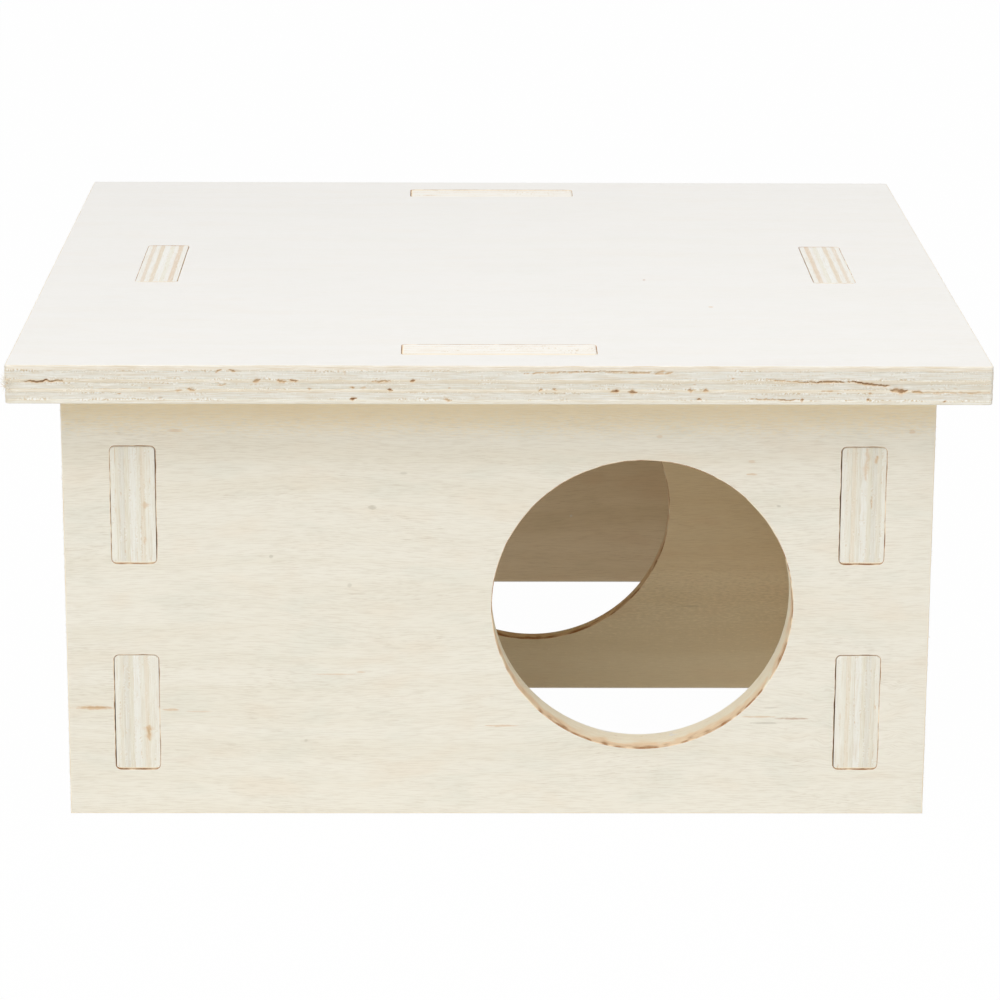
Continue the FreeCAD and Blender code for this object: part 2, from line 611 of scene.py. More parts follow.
    def random_tears(self, walk: Walk) -> list[Split]:
        """Draw the small torn places where end grain meets a glue line.

        Args:
            walk: The walk of the outline.

        Returns:
            The torn places.
        """
        run = walk.run
        draw = np.random.default_rng(self.seed * self.SEED_SPACING + len(run))
        weight = walk.works("tears") * walk.lengths
        total = np.concatenate([[0.0], np.cumsum(weight)])
        tears = []
        for _ in range(int(total[-1] / self.TEARS_COUNTED_ON)):
            pick = draw.random() * total[-1]
            index = min(int(np.searchsorted(total, pick, side="right")) - 1, len(run) - 1)
            number = int(draw.integers(len(self.plies.lines)))
            end_parity = 0 if walk.facing[index] > 0.5 else 1
            side = -1 if number % 2 == end_parity else 1
            from_glue = side * draw.uniform(*self.TEAR_FROM_GLUE)
            depth = self.plies.lines[number] * self.ply + from_glue
            length = self.LEAST_TEAR + draw.exponential(self.COMMON_TEAR)
            start = (run[index], depth)
            end = (run[index] + length, depth + draw.normal(0, self.TEAR_FALL))
            width = draw.uniform(*self.TEAR_WIDTH)
            sunk = draw.uniform(*self.TEAR_DEPTH)
            tears.append(Split(start, end, width, sunk, shade=draw.uniform(*self.TEAR_SHADE)))
        return tears

    def open_split(self, split: Split, walk: Walk, relief: np.ndarray, torn: np.ndarray) -> None:
        """Sink one split into the relief.

        Args:
            split: The split.
            walk: The walk of the outline.
            relief: The relief, which is deepened in place.
            torn: How torn the edge is, which is raised in place.
        """
        grain, run, levels = walk.grain, walk.run, walk.levels
        (first, first_depth), (last, last_depth) = split.start, split.end
        near = np.flatnonzero((run > first - self.SPLIT_REACH) & (run < last + self.SPLIT_REACH))
        if not len(near):
            return
        place = run[near]
        share = np.clip((place - first) / max(last - first, self.LEAST_SPLIT), 0, 1)
        jagged = grain.layer(self.JAGS, place, first_depth) - self.JAGS.height / 2
        jagged += grain.layer(self.FINE_JAGS, place) - self.FINE_JAGS.height / 2
        fall = (last_depth - first_depth) * share
        middle = first_depth + fall + min(split.width, self.WIDEST_JAG) * jagged
        taper = self.END_WIDTH + (1 - self.END_WIDTH) * np.sin(math.pi * share)
        swell = self.LEAST_SWELL + grain.layer(self.SWELL, place, first_depth)
        half_width = split.width / 2 * swell * taper
        beyond = np.maximum(np.maximum(first - place, place - last), 0) / self.SPLIT_TIP
        inside = np.clip(1 - beyond**2 - ((levels - middle) / half_width) ** 2, 0, 1)
        relief[:, near] += split.depth * np.sqrt(inside)
        from_middle = (levels - middle) / (self.HALO_WIDTH * half_width)
        halo = self.HALO_SHADE * np.exp(-beyond**2 - from_middle**2)
        dark = split.shade * (self.LEAST_DARK + grain.layer(self.DARK, place, first_depth))
        dark = dark * np.clip(inside * self.DARK_GAIN, 0, 1)
        torn[:, near] = np.maximum(torn[:, near], np.maximum(halo, dark))

    def scorch(self, walk: Walk) -> np.ndarray:
        """Work out how brown the cutter left each place: most beside the shown face, in patches.

        Args:
            walk: The walk of the outline.

        Returns:
            Scorch from 0 to 1.
        """
        round_trip = walk.run[-1] + walk.lengths[-1]
        near_end = np.clip((walk.run - round_trip) / self.SEAM + 1, 0, 1)

        def patches(place: np.ndarray) -> np.ndarray:
            """Broad and small patches, from 0 to 1."""
            broad = walk.grain.layer(self.BROAD_SCORCH, place, walk.levels)
            return broad + walk.grain.layer(self.FINE_SCORCH, place, walk.levels)

        burnt = patches(walk.run) * (1 - near_end) + patches(walk.run - round_trip) * near_end
        burnt = self.SCORCH_GAIN * burnt - self.SCORCH_LOSS
        fade = np.exp(-walk.levels / walk.works("scorch_depth"))
        return np.clip(walk.works("scorch") * fade * burnt, 0, 1)

    def fray(self, walk: Walk) -> np.ndarray:
        """Work out where loose fibres stand: in patches beside the glue lines.

        Args:
            walk: The walk of the outline.

        Returns:
            Fray from 0 to 1.
        """
        levels = walk.levels
        lines = np.array(self.plies.lines) * self.ply
        apart = np.abs(levels[..., None] - lines).min(axis=-1)
        beside = np.exp(-((apart / self.FRAY_HALF_WIDTH) ** 2))
        patches = np.clip(
            walk.grain.layer(self.FRAY_PATCHES, walk.run, levels) - self.FRAY_LOSS, 0, 1
        )
        off_arris = (levels > self.FRAY_MARGIN) & (levels < self.ply - self.FRAY_MARGIN)
        return walk.works("fray") * beside * patches * off_arris

    def mitre(self, normals: np.ndarray, inset: np.ndarray) -> np.ndarray:
        """Move every point inwards so that both edges that meet at it keep their inset.

        Args:
            normals: The way that the edge leaving each point faces.
            inset: Inset of the edge leaving each point, by level and point.

        Returns:
            The move of each point in the board's plane, by level and point.
        """
        before = np.roll(normals, 1, axis=0)
        inset_before = np.roll(inset, 1, axis=1)
        turn = before[:, 0] * normals[:, 1] - before[:, 1] * normals[:, 0]
        corner = np.abs(turn) > self.SHARP_TURN
        safe = np.where(corner, turn, 1.0)
        sharp = np.stack(
            [
                (inset * before[:, 1] - inset_before * normals[:, 1]) / safe,
                (inset_before * normals[:, 0] - inset * before[:, 0]) / safe,
            ],
            axis=-1,
        )
        mean = before + normals
        mean = mean / np.hypot(mean[:, 0], mean[:, 1])[:, None]
        smooth = -mean[None] * inset[..., None]
        return np.where(corner[None, :, None], sharp, smooth)


class Facing(Enum):
    """How a board lies, as the frame axes that run along its grain, across it and through its plies."""

    FRONT = (0, 2, 1)
    SIDE = (1, 2, 0)
    FLAT = (0, 1, 2)


@dataclass(frozen=True)
class Stance:
    """Where a board stands.

    Attributes:
        facing: How it lies.
        outer: The place of its shown face on the axis through its plies, in millimetres.
        inward: 1 if its plies run up that axis from the shown face, and -1 if they run down.
    """

    facing: Facing
    outer: float
    inward: int

    def place(self, places: np.ndarray) -> np.ndarray:
        """Turn places in the board's own axes into the frame's.

        Args:
            places: Places along, across and down, in millimetres.

        Returns:
            The places in the frame, in metres.
        """
        along, across, through = self.facing.value
        stood = np.empty_like(places)
        stood[..., along] = places[..., 0]
        stood[..., across] = places[..., 1]
        stood[..., through] = self.outer + self.inward * places[..., 2]
        return stood * MM

    @property
    def mirrored(self) -> bool:
        """Whether the board's own axes are left-handed in the frame."""
        axes = np.zeros((3, 3))
        for number, axis in enumerate(self.facing.value):
            axes[number, axis] = 1.0
        axes[2] *= self.inward
        return bool(np.linalg.det(axes) < 0)


def fill_face(loops: list[np.ndarray], first_indices: list[int], facing_up: bool) -> list[list[int]]:
    """Fill a board's face between its outline and its holes.

    Args:
        loops: The places of each loop, by point.
        first_indices: The index of each loop's first point in the mesh.
        facing_up: Whether the faces run anticlockwise in the board's plane.

    Returns:
        Triangles as indices in the mesh.
    """
    flat = np.concatenate([loop[:, :2] for loop in loops])
    indices = np.concatenate(
        [first + np.arange(len(loop)) for first, loop in zip(first_indices, loops)]
    )
    outlines = [[Vector((x, y, 0.0)) for x, y in loop[:, :2]] for loop in loops]
    triangles = np.array(geometry.tessellate_polygon(outlines))
    a, b, c = (flat[triangles[:, corner]] for corner in range(3))
    area = (b - a)[:, 0] * (c - a)[:, 1] - (b - a)[:, 1] * (c - a)[:, 0]
    wrong = (area > 0) != facing_up
    triangles[wrong] = triangles[wrong][:, ::-1]
    return indices[triangles].tolist()


# Node trees

Number = Union["Value", float]
Socket = Union["Value", bpy.types.NodeSocket, float, int, bool, Sequence[float], str, None]
Axes = tuple["Value", "Value", "Value"]
Stops = Sequence[tuple[float, Colour]]


@dataclass(frozen=True)
class Figure:
    """A pattern of noise in a finish.

    Attributes:
        along: Length of its blobs along the grain, in millimetres.
        across: Their width across the grain.
        down: Their depth through the plies.
        apart: Sets it apart from the finish's other patterns.
        detail: How many finer layers it has.
        rough: How strong the finer layers are.
    """

    along: float
    across: float
    down: float = 90.0
    apart: float = 0.0
    detail: float = 1.0
    rough: float = 0.5


@dataclass(frozen=True)
class Tint:
    """How a pattern brings out a colour.

    Attributes:
        low: The value of the pattern at which the colour starts to show.
        high: The value at which it shows most.
        strength: How much of it shows there, from 0 to 1.
    """

    low: float
    high: float
    strength: float = 1.0


class Value:
    """One output socket of a node tree, with the arithmetic that the finishes use."""

    def __init__(self, graph: "Graph", socket: bpy.types.NodeSocket) -> None:
        """Wrap a socket."""
        self.graph = graph
        self.socket = socket

    def __add__(self, other: Number) -> "Value":
        """Add."""
        return self.graph.math("ADD", self, other)

    __radd__ = __add__

    def __sub__(self, other: Number) -> "Value":
        """Subtract."""
        return self.graph.math("SUBTRACT", self, other)

    def __rsub__(self, other: Number) -> "Value":
        """Subtract from a number."""
        return self.graph.math("SUBTRACT", other, self)

    def __mul__(self, other: Number) -> "Value":
        """Multiply."""
        return self.graph.math("MULTIPLY", self, other)

    __rmul__ = __mul__

    def __truediv__(self, other: Number) -> "Value":
        """Divide."""
        return self.graph.math("DIVIDE", self, other)

    def __pow__(self, other: Number) -> "Value":
        """Raise to a power."""
        return self.graph.math("POWER", self, other)

    def __abs__(self) -> "Value":
        """Drop the sign."""
        return self.graph.math("ABSOLUTE", self)

    def at_least(self, other: Number) -> "Value":
        """The greater of this and another."""
        return self.graph.math("MAXIMUM", self, other)


class Graph:
    """The nodes of one material, world or modifier."""

    SQUARELY = Tint(0.3, 0.9)

    def __init__(self, tree: bpy.types.NodeTree) -> None:
        """Empty a tree and take it over."""
        self.tree = tree
        tree.nodes.clear()

    def node(
        self, kind: str, settings: dict[str, object] | None = None, sockets: dict[str, Socket] | None = None
    ) -> bpy.types.Node:
        """Add a node.

        Args:
            kind: The node's type.
            settings: Its properties, which are set first. Stops are a colour ramp's.
            sockets: A value or a link for each input, by the input's identifier.

        Returns:
            The node.
        """
        made = self.tree.nodes.new(kind)
        for name, setting in (settings or {}).items():
            if name == "stops":
                self.set_stops(made.color_ramp, setting)
            else:
                setattr(made, name, setting)
        by_identifier = {socket.identifier: socket for socket in made.inputs}
        for name, fed in (sockets or {}).items():
            if isinstance(fed, Value):
                self.tree.links.new(fed.socket, by_identifier[name])
            elif isinstance(fed, bpy.types.NodeSocket):
                self.tree.links.new(fed, by_identifier[name])
            else:
                by_identifier[name].default_value = fed
        return made

    def set_stops(self, ramp: bpy.types.ColorRamp, stops: Stops) -> None:
        """Set a colour ramp's stops, from its low end to its high end."""
        ramp.elements.remove(ramp.elements[-1])
        for number, (place, colour) in enumerate(stops):
            element = ramp.elements[0] if number == 0 else ramp.elements.new(place)
            element.position = place
            element.color = colour

    def output(self, node: bpy.types.Node, name: str | int = 0) -> Value:
        """One of a node's outputs."""
        return Value(self, node.outputs[name])

    def math(self, operation: str, first: Number, second: Number | None = None) -> Value:
        """Add a Math node.

        Args:
            operation: What it does.
            first: Its first value.
            second: Its second value, if it has one.

        Returns:
            The result.
        """
        sockets = {"Value": first}
        if second is not None:
            sockets["Value_001"] = second
        return self.output(self.node("ShaderNodeMath", {"operation": operation}, sockets))

    def rise(self, value: Value, tint: Tint, factor: float = 1.0) -> Value:
        """Rise smoothly from 0 at a tint's low value to its strength at the high one.

        Args:
            value: The value.
            tint: Where the rise starts and ends, and how far it goes.
            factor: What the tint's strength is multiplied by.

        Returns:
            The share.
        """
        sockets = {"Value": value, "From Min": tint.low, "From Max": tint.high}
        settings = {"interpolation_type": "SMOOTHSTEP"}
        share = self.output(self.node("ShaderNodeMapRange", settings, sockets))
        strength = tint.strength * factor
        return share if strength == 1.0 else share * strength

    def noise(self, figure: Figure, axes: Axes, shift: float = 0.0) -> Value:
        """Add the noise of one pattern.

        Args:
            figure: The pattern.
            axes: Millimetres along the grain, across it and down.
            shift: Sets it apart from other boards' patterns.

        Returns:
            The noise, which is near 0.5 on average.
        """
        along, across, down = axes
        sockets = {
            "X": along / figure.along,
            "Y": across / figure.across,
            "Z": down / figure.down + (shift + figure.apart),
        }
        place = self.node("ShaderNodeCombineXYZ", None, sockets)
        sockets = {
            "Vector": place.outputs[0],
            "Scale": 1.0,
            "Detail": figure.detail,
            "Roughness": figure.rough,
        }
        return self.output(self.node("ShaderNodeTexNoise", {"noise_dimensions": "3D"}, sockets))

    def blend(self, share: Number, first: Socket, second: Socket) -> Value:
        """Blend from one colour to another.

        Args:
            share: How much of the second colour shows.
            first: The colour at 0.
            second: The colour at 1.

        Returns:
            The colour.
        """
        sockets = {"Factor_Float": share, "A_Color": first, "B_Color": second}
        settings = {"data_type": "RGBA", "clamp_factor": True}
        return self.output(self.node("ShaderNodeMix", settings, sockets), 2)

    def between(self, share: Number, first: Number, second: Number) -> Value:
        """A value part of the way from one to another."""
        return share * (second - first) + first

    def tinted(
        self, colour: Socket, second: Socket, value: Value, tint: Tint, factor: float = 1.0
    ) -> Value:
        """Bring out a second colour where a pattern is strong.

        Args:
            colour: The colour so far.
            second: The colour to bring out.
            value: The pattern.
            tint: How the pattern brings it out.
            factor: What the tint's strength is multiplied by.

        Returns:
            The colour.
        """
        return self.blend(self.rise(value, tint, factor), colour, second)

    def ramp(self, value: Value, stops: Stops) -> Value:
        """Look a value up in a colour ramp."""
        return self.output(self.node("ShaderNodeValToRGB", {"stops": stops}, {"Fac": value}))

    def attribute(self, name: str) -> Value:
        """Read a number that the mesh holds."""
        return self.output(self.node("ShaderNodeAttribute", {"attribute_name": name}), "Fac")

    def board_axes(self, stance: Stance) -> Axes:
        """Read places in a board's own axes.

        Args:
            stance: Where the board stands.

        Returns:
            Millimetres along the grain, across it and down from the shown face.
        """
        place = self.node("ShaderNodeTexCoord").outputs["Object"]
        parts = self.node("ShaderNodeSeparateXYZ", None, {"Vector": place})
        along, across, through = (self.output(parts, axis) / MM for axis in stance.facing.value)
        return along, across, (through - stance.outer) * float(stance.inward)

    def facing_along(self, stance: Stance) -> Value:
        """How squarely a surface faces along a board's grain, from 0 to 1."""
        normal = self.node("ShaderNodeTexCoord").outputs["Normal"]
        parts = self.node("ShaderNodeSeparateXYZ", None, {"Vector": normal})
        return self.rise(abs(self.output(parts, stance.facing.value[0])), self.SQUARELY)

    def surface(self, colour: Value, roughness: Number, height: Value, bump_depth: float) -> None:
        """Finish a wooden material.

        Args:
            colour: Its colour.
            roughness: Its roughness.
            height: The height of its surface, about 0 to 1.
            bump_depth: How many millimetres a height of 1 stands up.
        """
        sockets = {"Strength": 1.0, "Distance": bump_depth * MM, "Height": height}
        bump = self.node("ShaderNodeBump", None, sockets)
        sockets = {"Base Color": colour, "Roughness": roughness, "Normal": bump.outputs[0]}
        shader = self.node("ShaderNodeBsdfPrincipled", None, sockets)
        self.node("ShaderNodeOutputMaterial", None, {"Surface": shader.outputs[0]})


def new_material(name: str) -> tuple[bpy.types.Material, Graph]:
    """Make an empty material.

    Args:
        name: Its name.

    Returns:
        The material and its nodes.
    """
    made = bpy.data.materials.new(name)
    made.use_nodes = True
    return made, Graph(made.node_tree)


# Finishes

@dataclass(frozen=True)
class Mark:
    """A mark on a board's face, or a patch of painted shade on it, in millimetres.

    Attributes:
        place: Its middle, along and across the grain.
        size: Its length along the grain and its width across.
        colour: Its colour.
        strength: How strongly it shows, from 0 to 1.
    """

    place: Point
    size: Point
    colour: Colour
    strength: float


@dataclass(frozen=True)
class FaceVeneer:
    """The look of a board's face: a pale, fine-grained veneer.

    Attributes:
        ground: The wood's main colour.
        band: The colour of its slow growth bands.
        blush: The colour of its warm patches.
        shade: The colour of its cool patches.
        pore: The colour of its short dark fibres.
        contrast: How strongly bands and fibres show.
        roughness: How matt it is.
        marks: Marks on it, some of them patches of painted shade.
        swirl: The middle of the place where the grain swirls, along and across.
        swirl_height: How far the grain is pushed aside there, in millimetres.
    """

    ground: Colour
    band: Colour
    blush: Colour
    shade: Colour
    pore: Colour
    contrast: float = 1.0
    roughness: float = 0.6
    marks: tuple[Mark, ...] = ()
    swirl: Point = (0.0, 0.0)
    swirl_height: float = 0.0

    # The patterns
    SEED_SPACING = 3.7
    SWAY = Figure(along=70, across=22)
    SWAY_HEIGHT = 7.0
    BANDS = Figure(along=150, across=4.2, apart=3, detail=3)
    PATCHES = Figure(along=16, across=7, apart=5, detail=2)
    HAIR = Figure(along=3.6, across=0.18, apart=7, detail=2, rough=0.6)
    FIBRE = Figure(along=2.2, across=0.13, apart=9)
    CROWD = Figure(along=18, across=5, apart=11, detail=2)

    # How they show
    BAND_TINT = Tint(0.4, 0.68, 0.5)
    BLUSH_TINT = Tint(0.52, 0.75, 0.45)
    SHADE_TINT = Tint(0.46, 0.28, 0.4)
    HAIR_TINT = Tint(0.42, 0.72, 0.2)
    FIBRE_TINT = Tint(0.56, 0.76)
    CROWD_TINT = Tint(0.36, 0.7)
    FIBRE_STRENGTH = 0.3
    HAIR_HEIGHT = 0.6
    FIBRE_DEPTH = 0.8
    HAIR_ROUGHNESS = 0.12
    BUMP_DEPTH = 0.03

    # The swirl in the grain
    SWIRL_REACH = (26.0, 15.0)
    SWIRL_RIPPLE = Figure(along=9, across=4, apart=50, detail=2)
    SWIRL_FADE = Tint(1.0, 0.0)

    # The ragged outline of a mark
    RAGGED = Figure(along=1.1, across=0.35)
    RAGGED_DEPTH = 1.4
    MARK_FADE = Tint(1.1, 0.1)

    def material(self, name: str, stance: Stance, seed: int) -> bpy.types.Material:
        """Make the finish for one board.

        Args:
            name: The material's name.
            stance: Where the board stands.
            seed: Sets its grain apart from other boards'.

        Returns:
            The material.
        """
        made, graph = new_material(name)
        axes = graph.board_axes(stance)
        along, across, depth = axes
        shift = seed * self.SEED_SPACING
        sway = graph.noise(self.SWAY, axes, shift) - 0.5
        line = across + sway * self.SWAY_HEIGHT + self.swirled(graph, axes)

        grain_axes = (along, line, depth)
        bands = graph.noise(self.BANDS, grain_axes, shift)
        patches = graph.noise(self.PATCHES, grain_axes, shift)
        hair = graph.noise(self.HAIR, grain_axes, shift)
        fibre = graph.rise(graph.noise(self.FIBRE, grain_axes, shift), self.FIBRE_TINT)
        fibres = fibre * graph.rise(graph.noise(self.CROWD, grain_axes, shift), self.CROWD_TINT)

        colour = graph.tinted(self.ground, self.band, bands, self.BAND_TINT, self.contrast)
        colour = graph.tinted(colour, self.blush, patches, self.BLUSH_TINT, self.contrast)
        colour = graph.tinted(colour, self.shade, patches, self.SHADE_TINT, self.contrast)
        colour = graph.tinted(colour, self.pore, hair, self.HAIR_TINT, self.contrast)
        colour = graph.blend(fibres * (self.FIBRE_STRENGTH * self.contrast), colour, self.pore)
        for mark in self.marks:
            colour = self.marked(graph, mark, axes, colour)

        roughness = self.roughness + hair * self.HAIR_ROUGHNESS
        height = hair * self.HAIR_HEIGHT - fibres * self.FIBRE_DEPTH
        graph.surface(colour, roughness, height, self.BUMP_DEPTH)
        return made

    def swirled(self, graph: Graph, axes: Axes) -> Number:
        """How far the grain is pushed aside where it swirls.

        Args:
            graph: The material's nodes.
            axes: Millimetres along the grain, across it and down.

        Returns:
            Millimetres across the grain.
        """
        if not self.swirl_height:
            return 0.0
        along, across, _ = axes
        beside = ((along - self.swirl[0]) / self.SWIRL_REACH[0]) ** 2.0
        above = ((across - self.swirl[1]) / self.SWIRL_REACH[1]) ** 2.0
        near = graph.rise(beside + above, self.SWIRL_FADE)
        ripple = graph.noise(self.SWIRL_RIPPLE, axes) - 0.5
        return near * ripple * self.swirl_height

    def marked(self, graph: Graph, mark: Mark, axes: Axes, colour: Value) -> Value:
        """Lay one mark, or one patch of painted shade, over the veneer.

        Args:
            graph: The material's nodes.
            mark: The mark.
            axes: Millimetres along the grain, across it and down.
            colour: The colour so far.

        Returns:
            The colour with the mark.
        """
        along, across, _ = axes
        beside = ((along - mark.place[0]) * (2 / mark.size[0])) ** 2.0
        above = ((across - mark.place[1]) * (2 / mark.size[1])) ** 2.0
        ragged = graph.noise(self.RAGGED, axes, shift=mark.place[0]) - 0.5
        inside = graph.rise(beside + above + ragged * self.RAGGED_DEPTH, self.MARK_FADE)
        return graph.blend(inside * mark.strength, colour, mark.colour)


@dataclass(frozen=True)
class SawnPlies:
    """The look of a board's edges: its plies, glue lines, torn end grain and scorch, with painted
    highlights and painted shade among the end grain's fibres.

    Attributes:
        plies: What the board is made of.
        glue: The colour of a glue line.
        pale_and_highlight: The colour of pale streaks, and of the fibres that stand up from end grain, with
            painted highlights on them.
        pit_painted_shade: The colour of the specks between those fibres: painted shade.
        torn: The colour inside a split.
        torn_rim: The colour round a split.
        fresh_and_painted_light: The pale colour laid on every scorched cut, under the scorch: partly a
            fresh cut that was never sanded, partly painted light that brightens the entrance's rim.
        singed: The colour that the cutter leaves where it is lightly scorched.
        scorched: The colour that it leaves where it burned.
        fuzz: How thickly the rows of fibres stand beside the glue lines, with painted highlights on them
            and painted shade between them.
        streaks: How strongly the streaks along the plies show.
        wave: How far the glue lines wander, as a share of the board.
        roughness: How matt it is.
    """

    plies: PlyStack
    glue: Colour = srgb(213, 193, 161)
    pale_and_highlight: Colour = srgb(250, 248, 242)
    pit_painted_shade: Colour = srgb(208, 184, 144)
    torn: Colour = srgb(146, 106, 68)
    torn_rim: Colour = srgb(218, 184, 140)
    fresh_and_painted_light: Colour = srgb(254, 247, 224)
    singed: Colour = srgb(245, 219, 185)
    scorched: Colour = srgb(168, 116, 66)
    fuzz: float = 1.0
    streaks: float = 1.0
    wave: float = 0.04
    roughness: float = 0.75

    # Half the width of a glue line's surroundings and of the step at it, as shares of the board
    LINE_WIDTH = 0.06
    SOFT = 0.014

    # The patterns
    SEED_SPACING = 5.3
    SWAY = Figure(along=11, across=11, down=2.5, detail=3)
    SMEAR = Figure(along=9, across=9, down=0.24, detail=3)
    DASH = Figure(along=3.4, across=3.4, down=0.14, detail=2)
    BLOTCH = Figure(along=9, across=9, down=1.4, detail=2)
    TICK = Figure(along=0.42, across=0.42, down=0.5)
    CROWD = Figure(along=8, across=8, down=1.2, apart=9, detail=2)
    PATCH = Figure(along=2.1, across=2.1, down=0.5, apart=4)
    CHAR = Figure(along=2.4, across=2.4, down=0.6, apart=21, detail=3, rough=0.65)

    # How they show
    BLOTCH_TINT = Tint(0.5, 0.75, 0.3)
    DARK_STREAK = Tint(0.52, 0.72, 0.4)
    PALE_STREAK = Tint(0.47, 0.3, 0.45)
    CROWD_TINT = Tint(0.48, 0.62)
    ROW_PATCH = Tint(0.38, 0.54)
    END_PATCH = Tint(0.5, 0.8, 0.4)
    PIT_SHADE_TINT = Tint(0.48, 0.36)
    TOOTH_HIGHLIGHT_TINT = Tint(0.52, 0.6)
    LEAST_CHAR = 0.45
    CHAR_GAIN = 1.1
    FRESH_AND_LIGHT_TINT = Tint(0.0, 0.03, 0.75)
    SINGED_TINT = Tint(0.08, 0.5, 0.9)
    SCORCHED_TINT = Tint(0.45, 1.2)
    TORN_RIM_TINT = Tint(0.02, 0.5, 0.8)
    TORN_TINT = Tint(0.4, 1.1)
    DASH_HEIGHT = 0.4
    BUMP_DEPTH = 0.08

    def tone_stops(self, tones: Sequence[Colour]) -> Stops:
        """A ramp that gives each ply its colour, with a soft step at each glue line."""
        stops = [(0.0, tones[0])]
        for number, line in enumerate(self.plies.lines):
            stops.append((line - self.SOFT, tones[number]))
            stops.append((line + self.SOFT, tones[number + 1]))
        return stops

    def crossed_stops(self) -> Stops:
        """A ramp that is white on the plies whose grain runs across, and black on the others."""
        count = len(self.plies.lines) + 1
        return self.tone_stops([WHITE if number % 2 else BLACK for number in range(count)])

    def glue_stops(self) -> Stops:
        """A ramp that is white on the glue lines and black between them."""
        stops = [(0.0, BLACK)]
        for line in self.plies.lines:
            stops += [(line - self.LINE_WIDTH, BLACK), (line, WHITE), (line + self.LINE_WIDTH, BLACK)]
        return stops

    def material(self, name: str, stance: Stance, ply: float, seed: int) -> bpy.types.Material:
        """Make the finish for one board.

        Args:
            name: The material's name.
            stance: Where the board stands.
            ply: The board's thickness in millimetres.
            seed: Sets its grain apart from other boards'.

        Returns:
            The material.
        """
        made, graph = new_material(name)
        axes = graph.board_axes(stance)
        shift = seed * self.SEED_SPACING
        sway = graph.noise(self.SWAY, axes, shift) - 0.5
        share = axes[2] / ply + sway * self.wave
        facing = graph.facing_along(stance)
        crossed = graph.ramp(share, self.crossed_stops())
        end_grain = graph.between(facing, crossed, 1 - crossed)

        colour = graph.blend(
            facing,
            graph.ramp(share, self.tone_stops(self.plies.side_tones)),
            graph.ramp(share, self.tone_stops(self.plies.end_tones)),
        )
        smear = graph.noise(self.SMEAR, axes, shift)
        dash = graph.noise(self.DASH, axes, shift)
        blotch = graph.noise(self.BLOTCH, axes, shift)
        colour = graph.tinted(colour, self.glue, blotch, self.BLOTCH_TINT, self.streaks)
        for streak in (smear, dash):
            colour = graph.tinted(colour, self.glue, streak, self.DARK_STREAK, self.streaks)
            colour = graph.tinted(colour, self.pale_and_highlight, streak, self.PALE_STREAK, self.streaks)

        tick = graph.noise(self.TICK, axes, shift)
        patch = graph.noise(self.PATCH, axes, shift)
        crowd = graph.rise(graph.noise(self.CROWD, axes, shift), self.CROWD_TINT)
        near_glue = graph.ramp(share, self.glue_stops())
        rows = near_glue * crowd * graph.rise(patch, self.ROW_PATCH) * self.fuzz
        frayed = rows.at_least(end_grain * graph.rise(patch, self.END_PATCH))
        # Painted shade in the specks between the end grain's fibres, and painted highlights on the fibres.
        colour = graph.blend(graph.rise(tick, self.PIT_SHADE_TINT) * frayed, colour, self.pit_painted_shade)
        colour = graph.blend(graph.rise(tick, self.TOOTH_HIGHLIGHT_TINT) * frayed, colour, self.pale_and_highlight)

        char = self.LEAST_CHAR + graph.noise(self.CHAR, axes, shift) * self.CHAR_GAIN
        scorch = graph.attribute("scorch") * char
        torn = graph.attribute("torn")
        # Painted light on scorched cuts, partly the pale colour of a fresh cut; it brightens the entrance's
        # rim.
        colour = graph.tinted(colour, self.fresh_and_painted_light, scorch, self.FRESH_AND_LIGHT_TINT)
        colour = graph.tinted(colour, self.singed, scorch, self.SINGED_TINT)
        colour = graph.tinted(colour, self.scorched, scorch, self.SCORCHED_TINT)
        colour = graph.tinted(colour, self.torn_rim, torn, self.TORN_RIM_TINT)
        colour = graph.tinted(colour, self.torn, torn, self.TORN_TINT)

        height = dash * self.DASH_HEIGHT + frayed * tick
        graph.surface(colour, self.roughness, height, self.BUMP_DEPTH)
        return made


# Boards

def middle(node: str, axis: int) -> float:
    """The middle of a construction panel on one of the frame's axes, in millimetres."""
    low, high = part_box(node)
    return (low[axis] + high[axis]) / 2 / MM


@dataclass(frozen=True)
class HouseSizes:
    """The sizes that the boards share, in millimetres.

    Attributes:
        wall_ply: Thickness of the walls.
        partition_ply: Thickness of the partition.
        roof_ply: Thickness of the roof.
        wall_height: Height of the walls without their tabs.
        tab_height: Height of a tab on an upright edge.
        lower_tab_base: Height of the lower tabs above the ground.
        tab_spacing: From one tab on an upright edge to the next.
        tab_rows: Tabs on an upright edge.
        roof_tab_length: Length of the tab on top of each outer wall.
        tab_corner: Radius of the tabs' corners.
        wall_slot_clearance: Gap all round a tab in a wall.
        roof_slot_clearance: Gap all round a tab in the roof.
    """

    wall_ply: float
    partition_ply: float
    roof_ply: float
    wall_height: float
    tab_height: float = 25.0
    lower_tab_base: float = 10.0
    tab_spacing: float = 45.0
    tab_rows: int = 2
    roof_tab_length: float = 40.0
    tab_corner: float = 1.0
    wall_slot_clearance: float = 0.08
    roof_slot_clearance: float = 0.1

    @classmethod
    def from_frame(cls) -> "HouseSizes":
        """Read the sizes that the frame gives."""
        wall, partition, roof = (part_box(node) for node in ("front_wall", "partition", "roof"))
        return cls(
            wall_ply=(wall[1].y - wall[0].y) / MM,
            partition_ply=(partition[1].y - partition[0].y) / MM,
            roof_ply=(roof[1].z - roof[0].z) / MM,
            wall_height=roof[0].z / MM,
        )

    def tab_bases(self) -> list[float]:
        """The height of the foot of each tab on an upright edge."""
        return [self.lower_tab_base + row * self.tab_spacing for row in range(self.tab_rows)]


